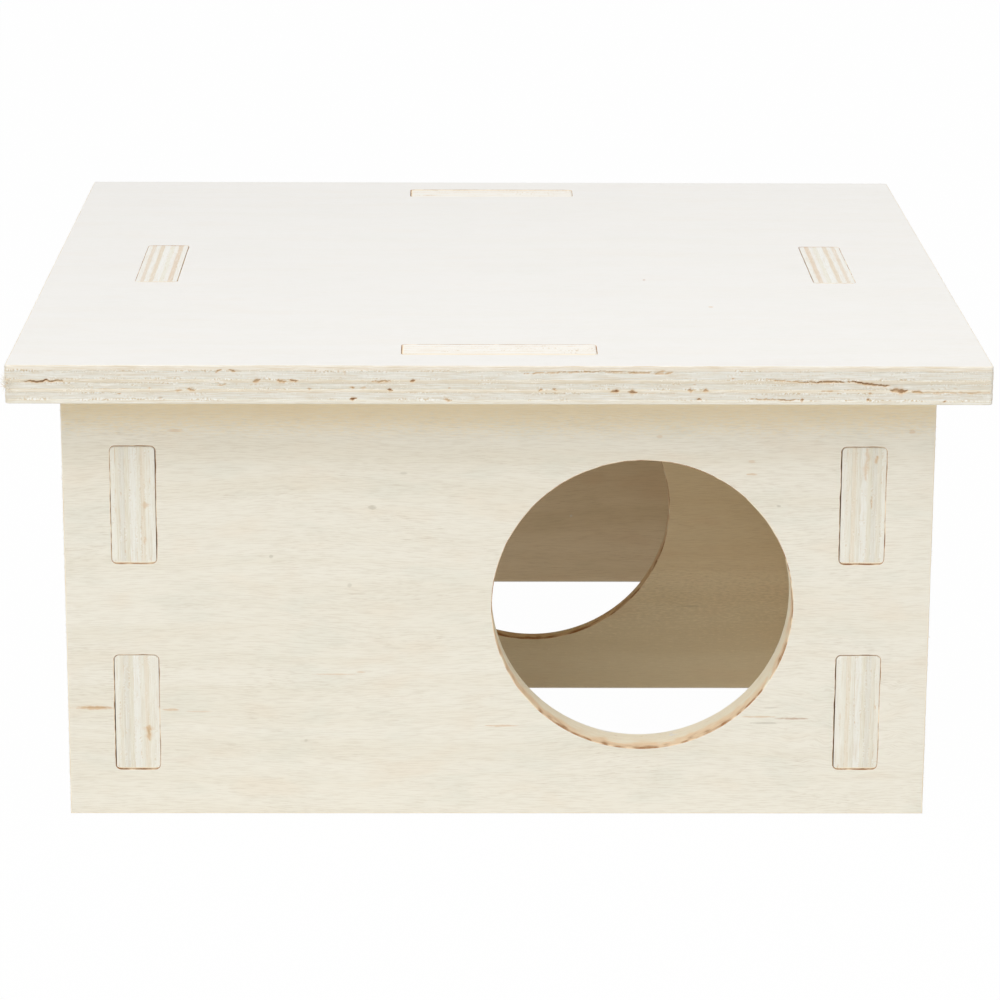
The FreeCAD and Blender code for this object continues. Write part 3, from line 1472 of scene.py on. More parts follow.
@dataclass
class Board:
    """One plywood board of the house.

    Attributes:
        sizes: The sizes that the boards share.
        node: The construction panel that it stands for.
        stance: Where it stands.
        length: Its length along the face grain, without tabs, in millimetres.
        ply: Its thickness in millimetres.
        veneer: The finish of its shown face.
        inner_veneer: The finish of its hidden face.
        sawn: The finish of its edges.
        seed: Sets its random draws.
        body: The body that it moves with.
        slot: The name of its material slot; not used.
        splits: Chosen splits along its outer edge.
    """

    sizes: HouseSizes
    node: str
    stance: Stance
    length: float
    ply: float
    veneer: FaceVeneer
    inner_veneer: FaceVeneer
    sawn: SawnPlies
    seed: int
    body: str = "walls"
    slot: str = "wall_plywood"
    splits: tuple[Split, ...] = ()

    HIDDEN_SEED = 5

    def outlines(self) -> list[Outline]:
        """The board's outer outline, and then those of its holes."""
        raise NotImplementedError

    def build(self) -> bpy.types.Object:
        """Model the board.

        Returns:
            The finished piece, riding on its body.
        """
        cutter = EdgeCutter(self.ply, self.sawn.plies, self.seed)
        rings = []
        for number, outline in enumerate(self.outlines()):
            rings.append(cutter.rings(outline, self.splits if number == 0 else ()))
        piece = self.skin(rings)
        self.dress(piece)
        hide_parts(self.node)
        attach(piece, self.body)
        return piece

    def skin(self, rings: list[Rings]) -> bpy.types.Object:
        """Cover the board's edges and faces.

        Args:
            rings: The rings of its outline and of each hole.

        Returns:
            The piece, without finishes.
        """
        edge_faces: list[list[int]] = []
        starts = [0]
        for ring in rings:
            levels, count = ring.torn.shape
            here = starts[-1] + np.arange(levels * count).reshape(levels, count)
            beside = np.roll(here, -1, axis=1)
            quads = np.stack([here[:-1], beside[:-1], beside[1:], here[1:]], axis=-1)
            edge_faces += quads.reshape(-1, quads.shape[-1]).tolist()
            starts.append(starts[-1] + levels * count)
        shown = fill_face([ring.places[0] for ring in rings], starts[:-1], facing_up=False)
        last_rows = [
            start + ring.torn.size - ring.torn.shape[1] for start, ring in zip(starts, rings)
        ]
        hidden = fill_face([ring.places[-1] for ring in rings], last_rows, facing_up=True)
        faces = shown + hidden + edge_faces
        if self.stance.mirrored:
            faces = [face[::-1] for face in faces]

        places = self.stance.place(np.concatenate([ring.places.reshape(-1, 3) for ring in rings]))
        mesh = bpy.data.meshes.new(self.node + "_board")
        mesh.from_pydata(places.tolist(), [], faces)
        counts = [len(shown), len(hidden), len(edge_faces)]
        finishes = np.repeat([SHOWN, HIDDEN, EDGE], counts)
        mesh.polygons.foreach_set("material_index", finishes.astype(np.int32))
        mesh.polygons.foreach_set("use_smooth", finishes == EDGE)
        for name in ("torn", "scorch", "fray"):
            values = np.concatenate([getattr(ring, name).ravel() for ring in rings])
            held = mesh.attributes.new(name, "FLOAT", "POINT")
            held.data.foreach_set("value", values.astype(np.float32))
        mesh.update()
        piece = bpy.data.objects.new(self.node + "_board", mesh)
        bpy.context.scene.collection.objects.link(piece)
        return piece

    def dress(self, piece: bpy.types.Object) -> None:
        """Give the board its finishes: shown face, hidden face and edges, in that order."""
        shown = self.veneer.material(self.node + "_face", self.stance, self.seed)
        hidden_seed = self.seed + self.HIDDEN_SEED
        hidden = self.inner_veneer.material(self.node + "_inner_face", self.stance, hidden_seed)
        edges = self.sawn.material(self.node + "_edges", self.stance, self.ply, self.seed)
        for finish in (shown, hidden, edges):
            piece.data.materials.append(finish)


@dataclass
class StandingBoard(Board):
    """A board that stands on the ground, with tabs and slots.

    Attributes:
        upright_reach: How far the tabs on its upright edges stick out, or 0 if it has none.
        roof_reach: How far the tab on its top sticks up, or 0 if it has none.
        slot_places: How far along the board its slots are.
        held_ply: Thickness of the boards that its slots hold.
        fits: How each slot sits round its tab, lower slots first in each place.
        opening: The middle of its round opening, if it has one.
        opening_diameter: The width of that opening.
        opening_rim: How the rim of that opening is worked.
    """

    upright_reach: float = 0.0
    roof_reach: float = 0.0
    slot_places: tuple[float, ...] = ()
    held_ply: float = 0.0
    fits: tuple[Fit, ...] = ()
    opening: Point = (0.0, 0.0)
    opening_diameter: float = 0.0
    opening_rim: Stretch = Stretch.DOORWAY

    def outlines(self) -> list[Outline]:
        """The outline with the tabs, and then the slots and the opening."""
        found = [self.panel()]
        found += self.slots()
        if self.opening_diameter:
            found.append(round_hole(self.opening, self.opening_diameter, self.opening_rim))
        return found

    def panel(self) -> Outline:
        """The outer outline, walked from the foot of its left edge."""
        half, top = self.length / 2, self.sizes.wall_height
        bases = self.sizes.tab_bases() if self.upright_reach else []
        upright = Stretch.SEATED if bases else Stretch.SAWN
        outline = Outline((-half, 0.0))
        outline.line_to((half, 0.0), Stretch.FOOT)
        height, reach = self.sizes.tab_height, self.upright_reach
        for base in bases:
            outline.tab((half, base), (half, base + height), (reach, 0.0))
        outline.line_to((half, top), upright)
        if self.roof_reach:
            tab_half = self.sizes.roof_tab_length / 2
            up = (0.0, self.roof_reach)
            outline.tab((tab_half, top), (-tab_half, top), up, Stretch.ROOF_TAB_END)
        outline.line_to((-half, top), Stretch.SEATED)
        for base in reversed(bases):
            outline.tab((-half, base + height), (-half, base), (-reach, 0.0))
        outline.line_to((-half, 0.0), upright)
        return outline

    def on_front_tabs(self, knot: Split) -> Split:
        """Find where the outline's walk, which goes down past the front tabs' ends, meets a knot.

        Args:
            knot: The knot, placed by the heights of its ends, each with a minus before it.

        Returns:
            The knot, placed along the walk.
        """
        points = np.array(self.panel().points)
        steps = np.diff(points, axis=0)
        run = np.concatenate([[0.0], np.cumsum(np.hypot(steps[:, 0], steps[:, 1]))])
        ends = np.flatnonzero(points[:, 0] < -(self.length + self.upright_reach) / 2)
        nearest = ends[np.argmin(np.abs(points[ends, 1] + knot.start[0]))]
        return knot.moved_to(float(run[nearest]))

    def slots(self) -> list[Outline]:
        """The slots for the tabs of the boards that this one holds."""
        clearance = self.sizes.wall_slot_clearance
        size = (self.held_ply + 2 * clearance, self.sizes.tab_height + 2 * clearance)
        radius = self.sizes.tab_corner + clearance
        middles = [
            (place, base + self.sizes.tab_height / 2)
            for place in self.slot_places
            for base in self.sizes.tab_bases()
        ]
        return [
            slot_hole(middle, size, radius, fit, Stretch.WALL_SLOT)
            for middle, fit in zip(middles, self.fits)
        ]


@dataclass
class Roof(Board):
    """The flat roof, with a slot for the top tab of each wall.

    Attributes:
        corner_radius: Radius of its four corners.
        wall_places: From the roof's middle to the side walls' and to the front and back walls'.
        fits: How each slot sits round its tab: front, back, left, right.
    """

    corner_radius: float = 0.8
    wall_places: Point = (0.0, 0.0)
    fits: tuple[Fit, ...] = ()

    def outlines(self) -> list[Outline]:
        """The outline, and then the four slots."""
        return [self.panel()] + self.slots()

    def panel(self) -> Outline:
        """The outer outline, walked from the left end of its front edge."""
        half = self.length / 2
        flat = half - self.corner_radius
        outline = Outline((-flat, -half))
        end, corner = complex(flat, -half), complex(flat, -flat)
        for stretch in (Stretch.FRONT_EDGE, Stretch.SAWN, Stretch.SAWN, Stretch.SAWN):
            outline.line_to((end.real, end.imag), stretch)
            outline.arc_about((corner.real, corner.imag), QUARTER_TURN, Stretch.SAWN)
            end, corner = end * 1j, corner * 1j
        return outline

    def slots(self) -> list[Outline]:
        """The slots for the top tabs of the four walls."""
        clearance = self.sizes.roof_slot_clearance
        long = self.sizes.roof_tab_length + 2 * clearance
        short = self.sizes.wall_ply + 2 * clearance
        side, front = self.wall_places
        radius = self.sizes.tab_corner + clearance
        middles = [(0.0, -front), (0.0, front), (-side, 0.0), (side, 0.0)]
        shapes = [(long, short), (long, short), (short, long), (short, long)]
        return [
            slot_hole(middle, shape, radius, fit, Stretch.ROOF_SLOT)
            for middle, shape, fit in zip(middles, shapes, self.fits)
        ]


# Loose fibres

@dataclass(frozen=True)
class FibreFinish:
    """The look of loose wood fibres.

    Attributes:
        pale: Their main colour.
        warm: The colour that some of them turn to.
        roughness: How matt they are.
    """

    pale: Colour = srgb(250, 246, 236)
    warm: Colour = srgb(228, 206, 172)
    roughness: float = 0.8

    SEED_SPACING = 3.1
    TONE = Figure(along=1.7, across=1.7, down=0.6, detail=2)
    STREAK = Figure(along=0.2, across=0.2, down=0.2)
    WARM_TINT = Tint(0.5, 0.7)
    STREAK_ROUGHNESS = 0.1
    BUMP_DEPTH = 0.01

    def material(self, name: str, seed: int) -> bpy.types.Material:
        """Make the finish.

        Args:
            name: The material's name.
            seed: Sets its pattern apart from others.

        Returns:
            The material.
        """
        made, graph = new_material(name)
        place = graph.node("ShaderNodeTexCoord").outputs["Object"]
        parts = graph.node("ShaderNodeSeparateXYZ", None, {"Vector": place})
        axes = tuple(graph.output(parts, axis) / MM for axis in range(3))
        tone = graph.noise(self.TONE, axes, seed * self.SEED_SPACING)
        streak = graph.noise(self.STREAK, axes, seed * self.SEED_SPACING)
        colour = graph.tinted(self.pale, self.warm, tone, self.WARM_TINT)
        roughness = self.roughness + streak * self.STREAK_ROUGHNESS
        graph.surface(colour, roughness, streak, self.BUMP_DEPTH)
        return made


@dataclass(frozen=True)
class Tuft:
    """A place where long strands stand off an edge.

    Attributes:
        place: Its middle, in metres.
        radius: How far it reaches, in metres.
        density: Strands on a square metre of it.
        stretch: How many times longer than the common fibres they are.
    """

    place: tuple[float, float, float]
    radius: float
    density: float
    stretch: float


def read_column(
    items: bpy.types.bpy_prop_collection, name: str, kind: type, width: int = 1
) -> np.ndarray:
    """Read one property of all of a mesh's vertices, faces or corners.

    Args:
        items: What to read it from.
        name: The property.
        kind: The kind of number that it is.
        width: How many numbers each has.

    Returns:
        The numbers, in one row.
    """
    values = np.empty(len(items) * width, kind)
    items.foreach_get(name, values)
    return values


@dataclass
class TornFibres:
    """The loose fibres that stand on the sawn edges of one body's boards.

    Attributes:
        name: The piece's name.
        body: The body that they move with.
        slot: The name of their material slot; not used.
        seed: Sets their random draws.
        tuft: A place with long strands.
        length: Length of a common fibre, in metres.
        width: Its width at the root, in metres.
        density: Fibres on a square metre where the edge is frayed most.
        lean: How far a fibre may lean from upright, in radians.
        finish: Their look.
    """

    name: str
    body: str
    slot: str
    seed: int
    tuft: Tuft
    length: float = 0.00034
    width: float = 0.0001
    density: float = 4.0e6
    lean: float = 1.25
    finish: FibreFinish = FibreFinish()

    LEAST_FRAY = 0.05
    FACE_CORNERS = 4

    # A fibre is a cone whose length varies between these shares of the common one
    SHORTEST = 0.5
    LONGEST = 1.5
    SIDES = 5
    ROOT_RADIUS = 0.5
    TIP_RADIUS = 0.12

    def build(self, boards: Sequence[bpy.types.Object]) -> bpy.types.Object:
        """Grow the fibres.

        Args:
            boards: The finished boards of the body.

        Returns:
            The finished piece, riding on its body.
        """
        carrier = self.carrier(boards)
        inputs = self.inputs()
        tree, sockets = self.tree({label: kind for label, (kind, _) in inputs.items()})
        modifier = carrier.modifiers.new("fibres", "NODES")
        modifier.node_group = tree
        for label, (_, value) in inputs.items():
            modifier[sockets[label]] = value
        graph = bpy.context.evaluated_depsgraph_get()
        grown = bpy.data.meshes.new_from_object(carrier.evaluated_get(graph), depsgraph=graph)
        carrier.modifiers.remove(modifier)
        carrier.data = grown
        grown.name = self.name
        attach(carrier, self.body)
        return carrier

    def inputs(self) -> dict[str, tuple[str, object]]:
        """The tree's inputs beside the mesh: the kind of socket and the value of each."""
        return {
            "Fibre length": ("NodeSocketFloat", self.length),
            "Fibre width": ("NodeSocketFloat", self.width),
            "Density": ("NodeSocketFloat", self.density),
            "Lean": ("NodeSocketFloat", self.lean),
            "Seed": ("NodeSocketInt", self.seed),
            "Tuft place": ("NodeSocketVector", self.tuft.place),
            "Tuft radius": ("NodeSocketFloat", self.tuft.radius),
            "Tuft density": ("NodeSocketFloat", self.tuft.density),
            "Tuft stretch": ("NodeSocketFloat", self.tuft.stretch),
            "Finish": (
                "NodeSocketMaterial",
                self.finish.material(self.name + "_finish", self.seed),
            ),
        }

    def carrier(self, boards: Sequence[bpy.types.Object]) -> bpy.types.Object:
        """Gather the frayed faces of the boards' edges, on which the fibres grow.

        Args:
            boards: The finished boards of the body.

        Returns:
            An object with those faces and how frayed they are.
        """
        places, faces, frays = [], [], []
        start = 0
        for board in boards:
            mesh = board.data
            co = read_column(mesh.vertices, "co", np.float32, 3).reshape(-1, 3)
            fray = read_column(mesh.attributes["fray"].data, "value", np.float32)
            edges = read_column(mesh.polygons, "material_index", np.int32) == EDGE
            first = read_column(mesh.polygons, "loop_start", np.int32)[edges]
            loops = read_column(mesh.loops, "vertex_index", np.int32)
            corners = loops[first[:, None] + np.arange(self.FACE_CORNERS)]
            from_tuft = np.linalg.norm(co - np.array(self.tuft.place), axis=1)
            wanted = (fray > self.LEAST_FRAY) | (from_tuft < self.tuft.radius)
            corners = corners[wanted[corners].any(axis=1)]
            used, renumbered = np.unique(corners, return_inverse=True)
            places.append(co[used])
            frays.append(fray[used])
            faces += (renumbered.reshape(-1, self.FACE_CORNERS) + start).tolist()
            start += len(used)
        mesh = bpy.data.meshes.new(self.name + "_carrier")
        mesh.from_pydata(np.concatenate(places).tolist(), [], faces)
        held = mesh.attributes.new("fray", "FLOAT", "POINT")
        held.data.foreach_set("value", np.concatenate(frays))
        mesh.update()
        carrier = bpy.data.objects.new(self.name, mesh)
        bpy.context.scene.collection.objects.link(carrier)
        return carrier

    def tree(self, kinds: dict[str, str]) -> tuple[bpy.types.NodeTree, dict[str, str]]:
        """Make the Geometry Nodes tree that grows the fibres.

        Args:
            kinds: The kind of socket of each input beside the mesh.

        Returns:
            The tree, and the identifier of each of its inputs by name.
        """
        tree = bpy.data.node_groups.new(self.name + "_tree", "GeometryNodeTree")
        graph = Graph(tree)
        mesh_kind = "NodeSocketGeometry"
        kinds = {"Geometry": mesh_kind, **kinds}
        sockets = {
            label: tree.interface.new_socket(label, in_out="INPUT", socket_type=kind).identifier
            for label, kind in kinds.items()
        }
        outlet = tree.interface.new_socket("Geometry", in_out="OUTPUT", socket_type=mesh_kind)
        given = graph.node("NodeGroupInput")
        chosen = {label: graph.output(given, label) for label in kinds}

        settings = {"data_type": "FLOAT"}
        fray = graph.node("GeometryNodeInputNamedAttribute", settings, {"Name": "fray"})
        place = graph.node("GeometryNodeInputPosition")
        apart = graph.node(
            "ShaderNodeVectorMath",
            {"operation": "DISTANCE"},
            {"Vector": place.outputs[0], "Vector_001": chosen["Tuft place"]},
        )
        in_tuft = graph.math("LESS_THAN", graph.output(apart, "Value"), chosen["Tuft radius"])
        common = graph.output(fray, "Attribute") * chosen["Density"]
        density = common + in_tuft * chosen["Tuft density"]
        scattered = graph.node(
            "GeometryNodeDistributePointsOnFaces",
            {"distribute_method": "RANDOM"},
            {"Mesh": chosen["Geometry"], "Density": density, "Seed": chosen["Seed"]},
        )

        swing = graph.node(
            "ShaderNodeCombineXYZ",
            None,
            {"X": chosen["Lean"], "Y": chosen["Lean"], "Z": FULL_TURN / 2},
        )
        other_way = graph.node(
            "ShaderNodeVectorMath",
            {"operation": "SCALE"},
            {"Vector": swing.outputs[0], "Scale": -1.0},
        )
        leaning = graph.node(
            "FunctionNodeRandomValue",
            {"data_type": "FLOAT_VECTOR"},
            {"Min": other_way.outputs[0], "Max": swing.outputs[0], "Seed": chosen["Seed"]},
        )
        turn = graph.node("FunctionNodeEulerToRotation", None, {"Euler": leaning.outputs[0]})
        turned = graph.node(
            "FunctionNodeRotateRotation",
            {"rotation_space": "LOCAL"},
            {"Rotation": scattered.outputs["Rotation"], "Rotate By": turn.outputs[0]},
        )

        varied = graph.node(
            "FunctionNodeRandomValue",
            settings,
            {"Min_001": self.SHORTEST, "Max_001": self.LONGEST, "Seed": chosen["Seed"] + 1.0},
        )
        longer = in_tuft * chosen["Tuft stretch"] + 1.0
        reach = chosen["Fibre length"] * graph.output(varied, 1) * longer
        width = chosen["Fibre width"]
        size = graph.node("ShaderNodeCombineXYZ", None, {"X": width, "Y": width, "Z": reach})
        fibre = graph.node(
            "GeometryNodeMeshCone",
            {"fill_type": "NGON"},
            {
                "Vertices": self.SIDES,
                "Radius Top": self.TIP_RADIUS,
                "Radius Bottom": self.ROOT_RADIUS,
                "Depth": 1.0,
            },
        )
        standing = graph.node(
            "GeometryNodeInstanceOnPoints",
            None,
            {
                "Points": scattered.outputs["Points"],
                "Instance": fibre.outputs["Mesh"],
                "Rotation": turned.outputs[0],
                "Scale": size.outputs[0],
            },
        )
        real = graph.node("GeometryNodeRealizeInstances", None, {"Geometry": standing.outputs[0]})
        finished = graph.node(
            "GeometryNodeSetMaterial",
            None,
            {"Geometry": real.outputs[0], "Material": chosen["Finish"]},
        )
        graph.node("NodeGroupOutput", None, {outlet.identifier: finished.outputs[0]})
        return tree, sockets


# The studio

@dataclass(frozen=True)
class Lamp:
    """A soft square lamp.

    Attributes:
        name: Its name.
        place: Where it hangs, in metres.
        side: Its width and height, in metres.
        power: Its power in watts.
    """

    name: str
    place: tuple[float, float, float]
    side: float
    power: float


@dataclass(frozen=True)
class Studio:
    """The floor, the light and the camera.

    Attributes:
        camera_place: Where the camera stands, in metres.
        pitch: How far it looks down, in radians.
        yaw: How far it is turned to the right, in radians.
        roll: How far it leans, in radians.
        focal_pixels: Its focal length in pixels of the picture.
        picture_pixels: The picture's width in pixels.
        sensor: The width of its sensor in millimetres.
        floor_side: The width of the floor in metres.
        floor_drop: How far the floor lies below the boards' feet, in metres.
        floor_colour: The colour of the floor.
        floor_glow: How much of the floor's picture is plain white, whatever falls on it.
        table_glow: How much the floor shines by itself, as a light table does.
        sky: The strength of the light from all round.
        sight: The nearest and the farthest that the camera sees, in metres.
        aim: The point that the lamps shine at.
        lamps: The lamps.
    """

    camera_place: tuple[float, float, float] = (-0.00921, -0.84817, 0.27759)
    pitch: float = 0.2688
    yaw: float = 0.01252
    roll: float = 0.00465
    focal_pixels: float = 3810.0
    picture_pixels: float = 1000.0
    sensor: float = 36.0
    floor_side: float = 14.0
    floor_drop: float = 0.0001
    floor_colour: Colour = srgb(228, 228, 226)
    floor_glow: float = 0.985
    table_glow: float = 0.31
    sky: float = 0.36
    sight: tuple[float, float] = (0.01, 100.0)
    aim: tuple[float, float, float] = (0.0, 0.0, 0.05)
    lamps: tuple[Lamp, ...] = (
        Lamp("overhead_lamp", (0.1, -0.6, 1.65), 1.2, 14.2),
        Lamp("front_lamp", (-0.7, -1.5, 1.3), 1.2, 13.8),
        Lamp("back_lamp", (0.5, 1.6, 1.2), 1.2, 3.3),
    )

    def build(self) -> None:
        """Set up the whole studio."""
        self.build_floor()
        self.build_sky()
        for lamp in self.lamps:
            self.build_lamp(lamp)
        self.build_camera()
        bpy.context.scene.view_settings.view_transform = "Standard"

    def seen(self, graph: Graph) -> Value:
        """1 for rays that show the studio in the picture, in a gloss or through glass, and else 0."""
        path = graph.node("ShaderNodeLightPath")
        camera = graph.output(path, "Is Camera Ray")
        glossy = graph.output(path, "Is Glossy Ray")
        return camera.at_least(glossy).at_least(graph.output(path, "Is Transmission Ray"))

    def build_floor(self) -> None:
        """Lay the plain pale floor, which keeps a faint shadow."""
        half = self.floor_side / 2
        corners = [(-half, -half), (half, -half), (half, half), (-half, half)]
        mesh = bpy.data.meshes.new("floor")
        mesh.from_pydata([(x, y, -self.floor_drop) for x, y in corners], [], [(0, 1, 2, 3)])
        floor = bpy.data.objects.new("floor", mesh)
        bpy.context.scene.collection.objects.link(floor)
        made, graph = new_material("pale_floor")
        card = graph.node("ShaderNodeBsdfDiffuse", None, {"Color": self.floor_colour})
        glow = graph.node("ShaderNodeEmission", None, {"Color": WHITE, "Strength": 1.0})
        share = graph.between(self.seen(graph), self.table_glow, self.floor_glow)
        mix = graph.node(
            "ShaderNodeMixShader",
            None,
            {"Fac": share, "Shader": card.outputs[0], "Shader_001": glow.outputs[0]},
        )
        graph.node("ShaderNodeOutputMaterial", None, {"Surface": mix.outputs[0]})
        mesh.materials.append(made)

    def build_sky(self) -> None:
        """Surround the studio with even white light."""
        world = bpy.data.worlds.new("studio_sky")
        world.use_nodes = True
        graph = Graph(world.node_tree)
        strength = graph.between(self.seen(graph), self.sky, 1.0)
        light = graph.node("ShaderNodeBackground", None, {"Color": WHITE, "Strength": strength})
        graph.node("ShaderNodeOutputWorld", None, {"Surface": light.outputs[0]})
        bpy.context.scene.world = world

    def build_lamp(self, lamp: Lamp) -> None:
        """Hang one lamp, turned to the house."""
        light = bpy.data.lights.new(lamp.name, "AREA")
        light.shape = "SQUARE"
        light.size = lamp.side
        light.energy = lamp.power
        hung = bpy.data.objects.new(lamp.name, light)
        hung.location = lamp.place
        way = Vector(self.aim) - Vector(lamp.place)
        hung.rotation_mode = "QUATERNION"
        hung.rotation_quaternion = way.to_track_quat("-Z", "Y")
        bpy.context.scene.collection.objects.link(hung)

    def build_camera(self) -> None:
        """Set up the camera where the photograph was taken from."""
        lens = bpy.data.cameras.new("camera")
        lens.sensor_width = self.sensor
        lens.lens = self.focal_pixels / self.picture_pixels * self.sensor
        lens.clip_start, lens.clip_end = self.sight
        camera = bpy.data.objects.new("camera", lens)
        ahead = Vector((math.sin(self.yaw), math.cos(self.yaw), 0.0))
        forward = ahead * math.cos(self.pitch) - Vector((0.0, 0.0, math.sin(self.pitch)))
        level = Vector((math.cos(self.yaw), -math.sin(self.yaw), 0.0))
        upright = level.cross(forward)
        right = level * math.cos(self.roll) + upright * math.sin(self.roll)
        up = upright * math.cos(self.roll) - level * math.sin(self.roll)
        turned = Matrix((right, up, -forward)).transposed().to_4x4()
        camera.matrix_world = Matrix.Translation(self.camera_place) @ turned
        bpy.context.scene.collection.objects.link(camera)
        bpy.context.scene.camera = camera


# This house

WALL_PLIES = PlyStack(
    lines=(0.11, 0.20, 0.32, 0.42, 0.57, 0.67, 0.77, 0.88),
    side_tones=(
        srgb(240, 238, 231), srgb(229, 217, 201), srgb(239, 237, 230), srgb(227, 214, 194),
        srgb(240, 239, 233), srgb(234, 231, 218), srgb(239, 236, 229), srgb(226, 209, 189),
        srgb(240, 238, 231),
    ),
    end_tones=(
        srgb(242, 239, 226), srgb(235, 230, 214), srgb(231, 227, 214), srgb(234, 229, 212),
        srgb(242, 240, 230), srgb(238, 234, 220), srgb(236, 227, 208), srgb(240, 236, 222),
        srgb(242, 239, 227),
    ),
)
# Painted light: where the edges run along the grain, the cross walls' plies are paler than the side walls',
# which brightens the entrance's rim, where little light reaches.
FRONT_PLIES_PAINTED_LIGHT = PlyStack(
    lines=WALL_PLIES.lines,
    side_tones=(
        srgb(248, 236, 214), srgb(244, 238, 227), srgb(246, 243, 236), srgb(244, 238, 227),
        srgb(246, 243, 236), srgb(245, 241, 232), srgb(246, 244, 238), srgb(245, 240, 230),
        srgb(246, 244, 238),
    ),
    end_tones=WALL_PLIES.end_tones,
)
PARTITION_PLIES = PlyStack(
    lines=(0.3, 0.7),
    side_tones=(srgb(236, 228, 212), srgb(224, 208, 184), srgb(236, 228, 212)),
    end_tones=(srgb(228, 214, 190), srgb(234, 226, 210), srgb(228, 214, 190)),
)
ROOF_PLIES = PlyStack(
    lines=(0.14, 0.36, 0.46, 0.61, 0.70, 0.88),
    side_tones=(
        srgb(237, 228, 211), srgb(230, 227, 216), srgb(227, 217, 197), srgb(227, 223, 210),
        srgb(234, 224, 204), srgb(229, 225, 213), srgb(237, 232, 217),
    ),
    end_tones=(
        srgb(230, 224, 210), srgb(234, 222, 202), srgb(224, 218, 203), srgb(233, 220, 199),
        srgb(226, 220, 206), srgb(232, 221, 202), srgb(233, 228, 214),
    ),
)

SIENNA = srgb(178, 128, 84)
AMBER = srgb(214, 176, 128)
SLATE = srgb(188, 180, 160)
CHALK = srgb(252, 252, 248)
# The warm tone of the painted shade under the roof's overhang.
PAINTED_ROOF_SHADE = srgb(249, 229, 186)
UMBER = srgb(197, 182, 146)
# The brown of the painted shade in the gaps round the side walls' tabs.
GAP_SHADE_BROWN = srgb(168, 122, 66)

FRONT_MARKS_AND_ROOF_SHADE = (
    # Painted shade: a warm band along the top of the front wall, under the roof's overhang.
    Mark((0.0, 93.0), (600.0, 22.0), PAINTED_ROOF_SHADE, 0.55),
    Mark((-84.7, 23.5), (9.4, 1.0), AMBER, 0.75),
    Mark((-83.6, 23.6), (6.0, 0.4), SIENNA, 0.4),
    Mark((-68.3, 23.1), (4.2, 0.6), AMBER, 0.55),
    Mark((-62.6, 22.7), (6.0, 0.4), AMBER, 0.3),
    Mark((-34.0, 30.9), (10.0, 0.45), AMBER, 0.35),
    Mark((-28.6, 31.4), (2.4, 0.5), AMBER, 0.35),
    Mark((-30.9, 50.3), (1.2, 1.2), SLATE, 0.35),
    Mark((-47.1, 56.5), (1.0, 0.9), SLATE, 0.5),
    Mark((-26.1, 67.1), (2.0, 1.2), SLATE, 0.45),
    Mark((-19.6, 74.4), (1.7, 0.6), SLATE, 0.3),
    Mark((-40.2, 16.3), (0.9, 0.9), SLATE, 0.3),
    Mark((-66.4, 83.4), (3.8, 0.9), AMBER, 0.35),
    Mark((0.8, 19.6), (8.0, 0.5), AMBER, 0.55),
    Mark((62.0, 21.2), (8.0, 0.5), SIENNA, 0.55),
    Mark((54.6, 21.6), (8.5, 0.45), AMBER, 0.5),
    Mark((56.0, 20.2), (7.5, 0.5), SLATE, 0.45),
    Mark((57.3, 23.6), (3.0, 0.45), SLATE, 0.3),
    Mark((57.9, 67.5), (1.1, 0.6), SLATE, 0.5),
    Mark((52.2, 74.3), (2.6, 0.55), AMBER, 0.5),
    Mark((52.1, 77.0), (1.8, 0.8), AMBER, 0.3),
    Mark((33.0, 82.3), (1.5, 0.9), AMBER, 0.3),
    Mark((85.0, 83.4), (1.6, 1.1), AMBER, 0.35),
)
# Painted shade: brown bands on the side walls' tabs, which darken the narrow gaps between the tabs and
# their slots.
SLOT_GAP_SHADE = (
    Mark((-88.0, 45.0), (14.0, 600.0), GAP_SHADE_BROWN, 0.95),
    Mark((88.0, 45.0), (14.0, 600.0), GAP_SHADE_BROWN, 0.95),
)
PARTITION_MARKS_AND_FOOT_SHADE = (
    # Painted shade: a broad darker band along the partition's foot, which holds back the light that the
    # glowing floor throws on it.
    Mark((0.0, 0.0), (600.0, 60.0), UMBER, 0.5),
    Mark((10.0, 17.6), (5.0, 1.2), UMBER, 0.5),
    Mark((-12.4, 14.0), (1.6, 1.4), UMBER, 0.6),
    Mark((45.7, 20.0), (9.0, 0.5), UMBER, 0.5),
)
REAR_MARKS = (
    Mark((20.4, 17.5), (0.9, 0.8), CHALK, 0.4),
)
ROOF_MARKS = (
    Mark((33.1, -16.9), (0.8, 0.8), SIENNA, 0.9),
    Mark((46.2, -44.6), (1.4, 1.0), AMBER, 0.7),
)


# Knots on the ends of the side walls' tabs. Places run down, so a height has a minus before it.
KNOT_SUNK = 0.04
LEFT_KNOTS = (
    Split((-19.7, 7.0), (-16.7, 7.0), 1.3, KNOT_SUNK, 0.6),
    Split((-68.0, 6.9), (-66.8, 6.9), 0.7, KNOT_SUNK, 0.4),
    Split((-60.6, 6.9), (-59.6, 6.9), 0.6, KNOT_SUNK, 0.4),
)
RIGHT_KNOTS = (
    Split((-78.0, 2.0), (-76.7, 2.0), 0.6, KNOT_SUNK, 0.55),
    Split((-79.6, 4.1), (-73.1, 4.1), 0.7, KNOT_SUNK, 0.25),
)

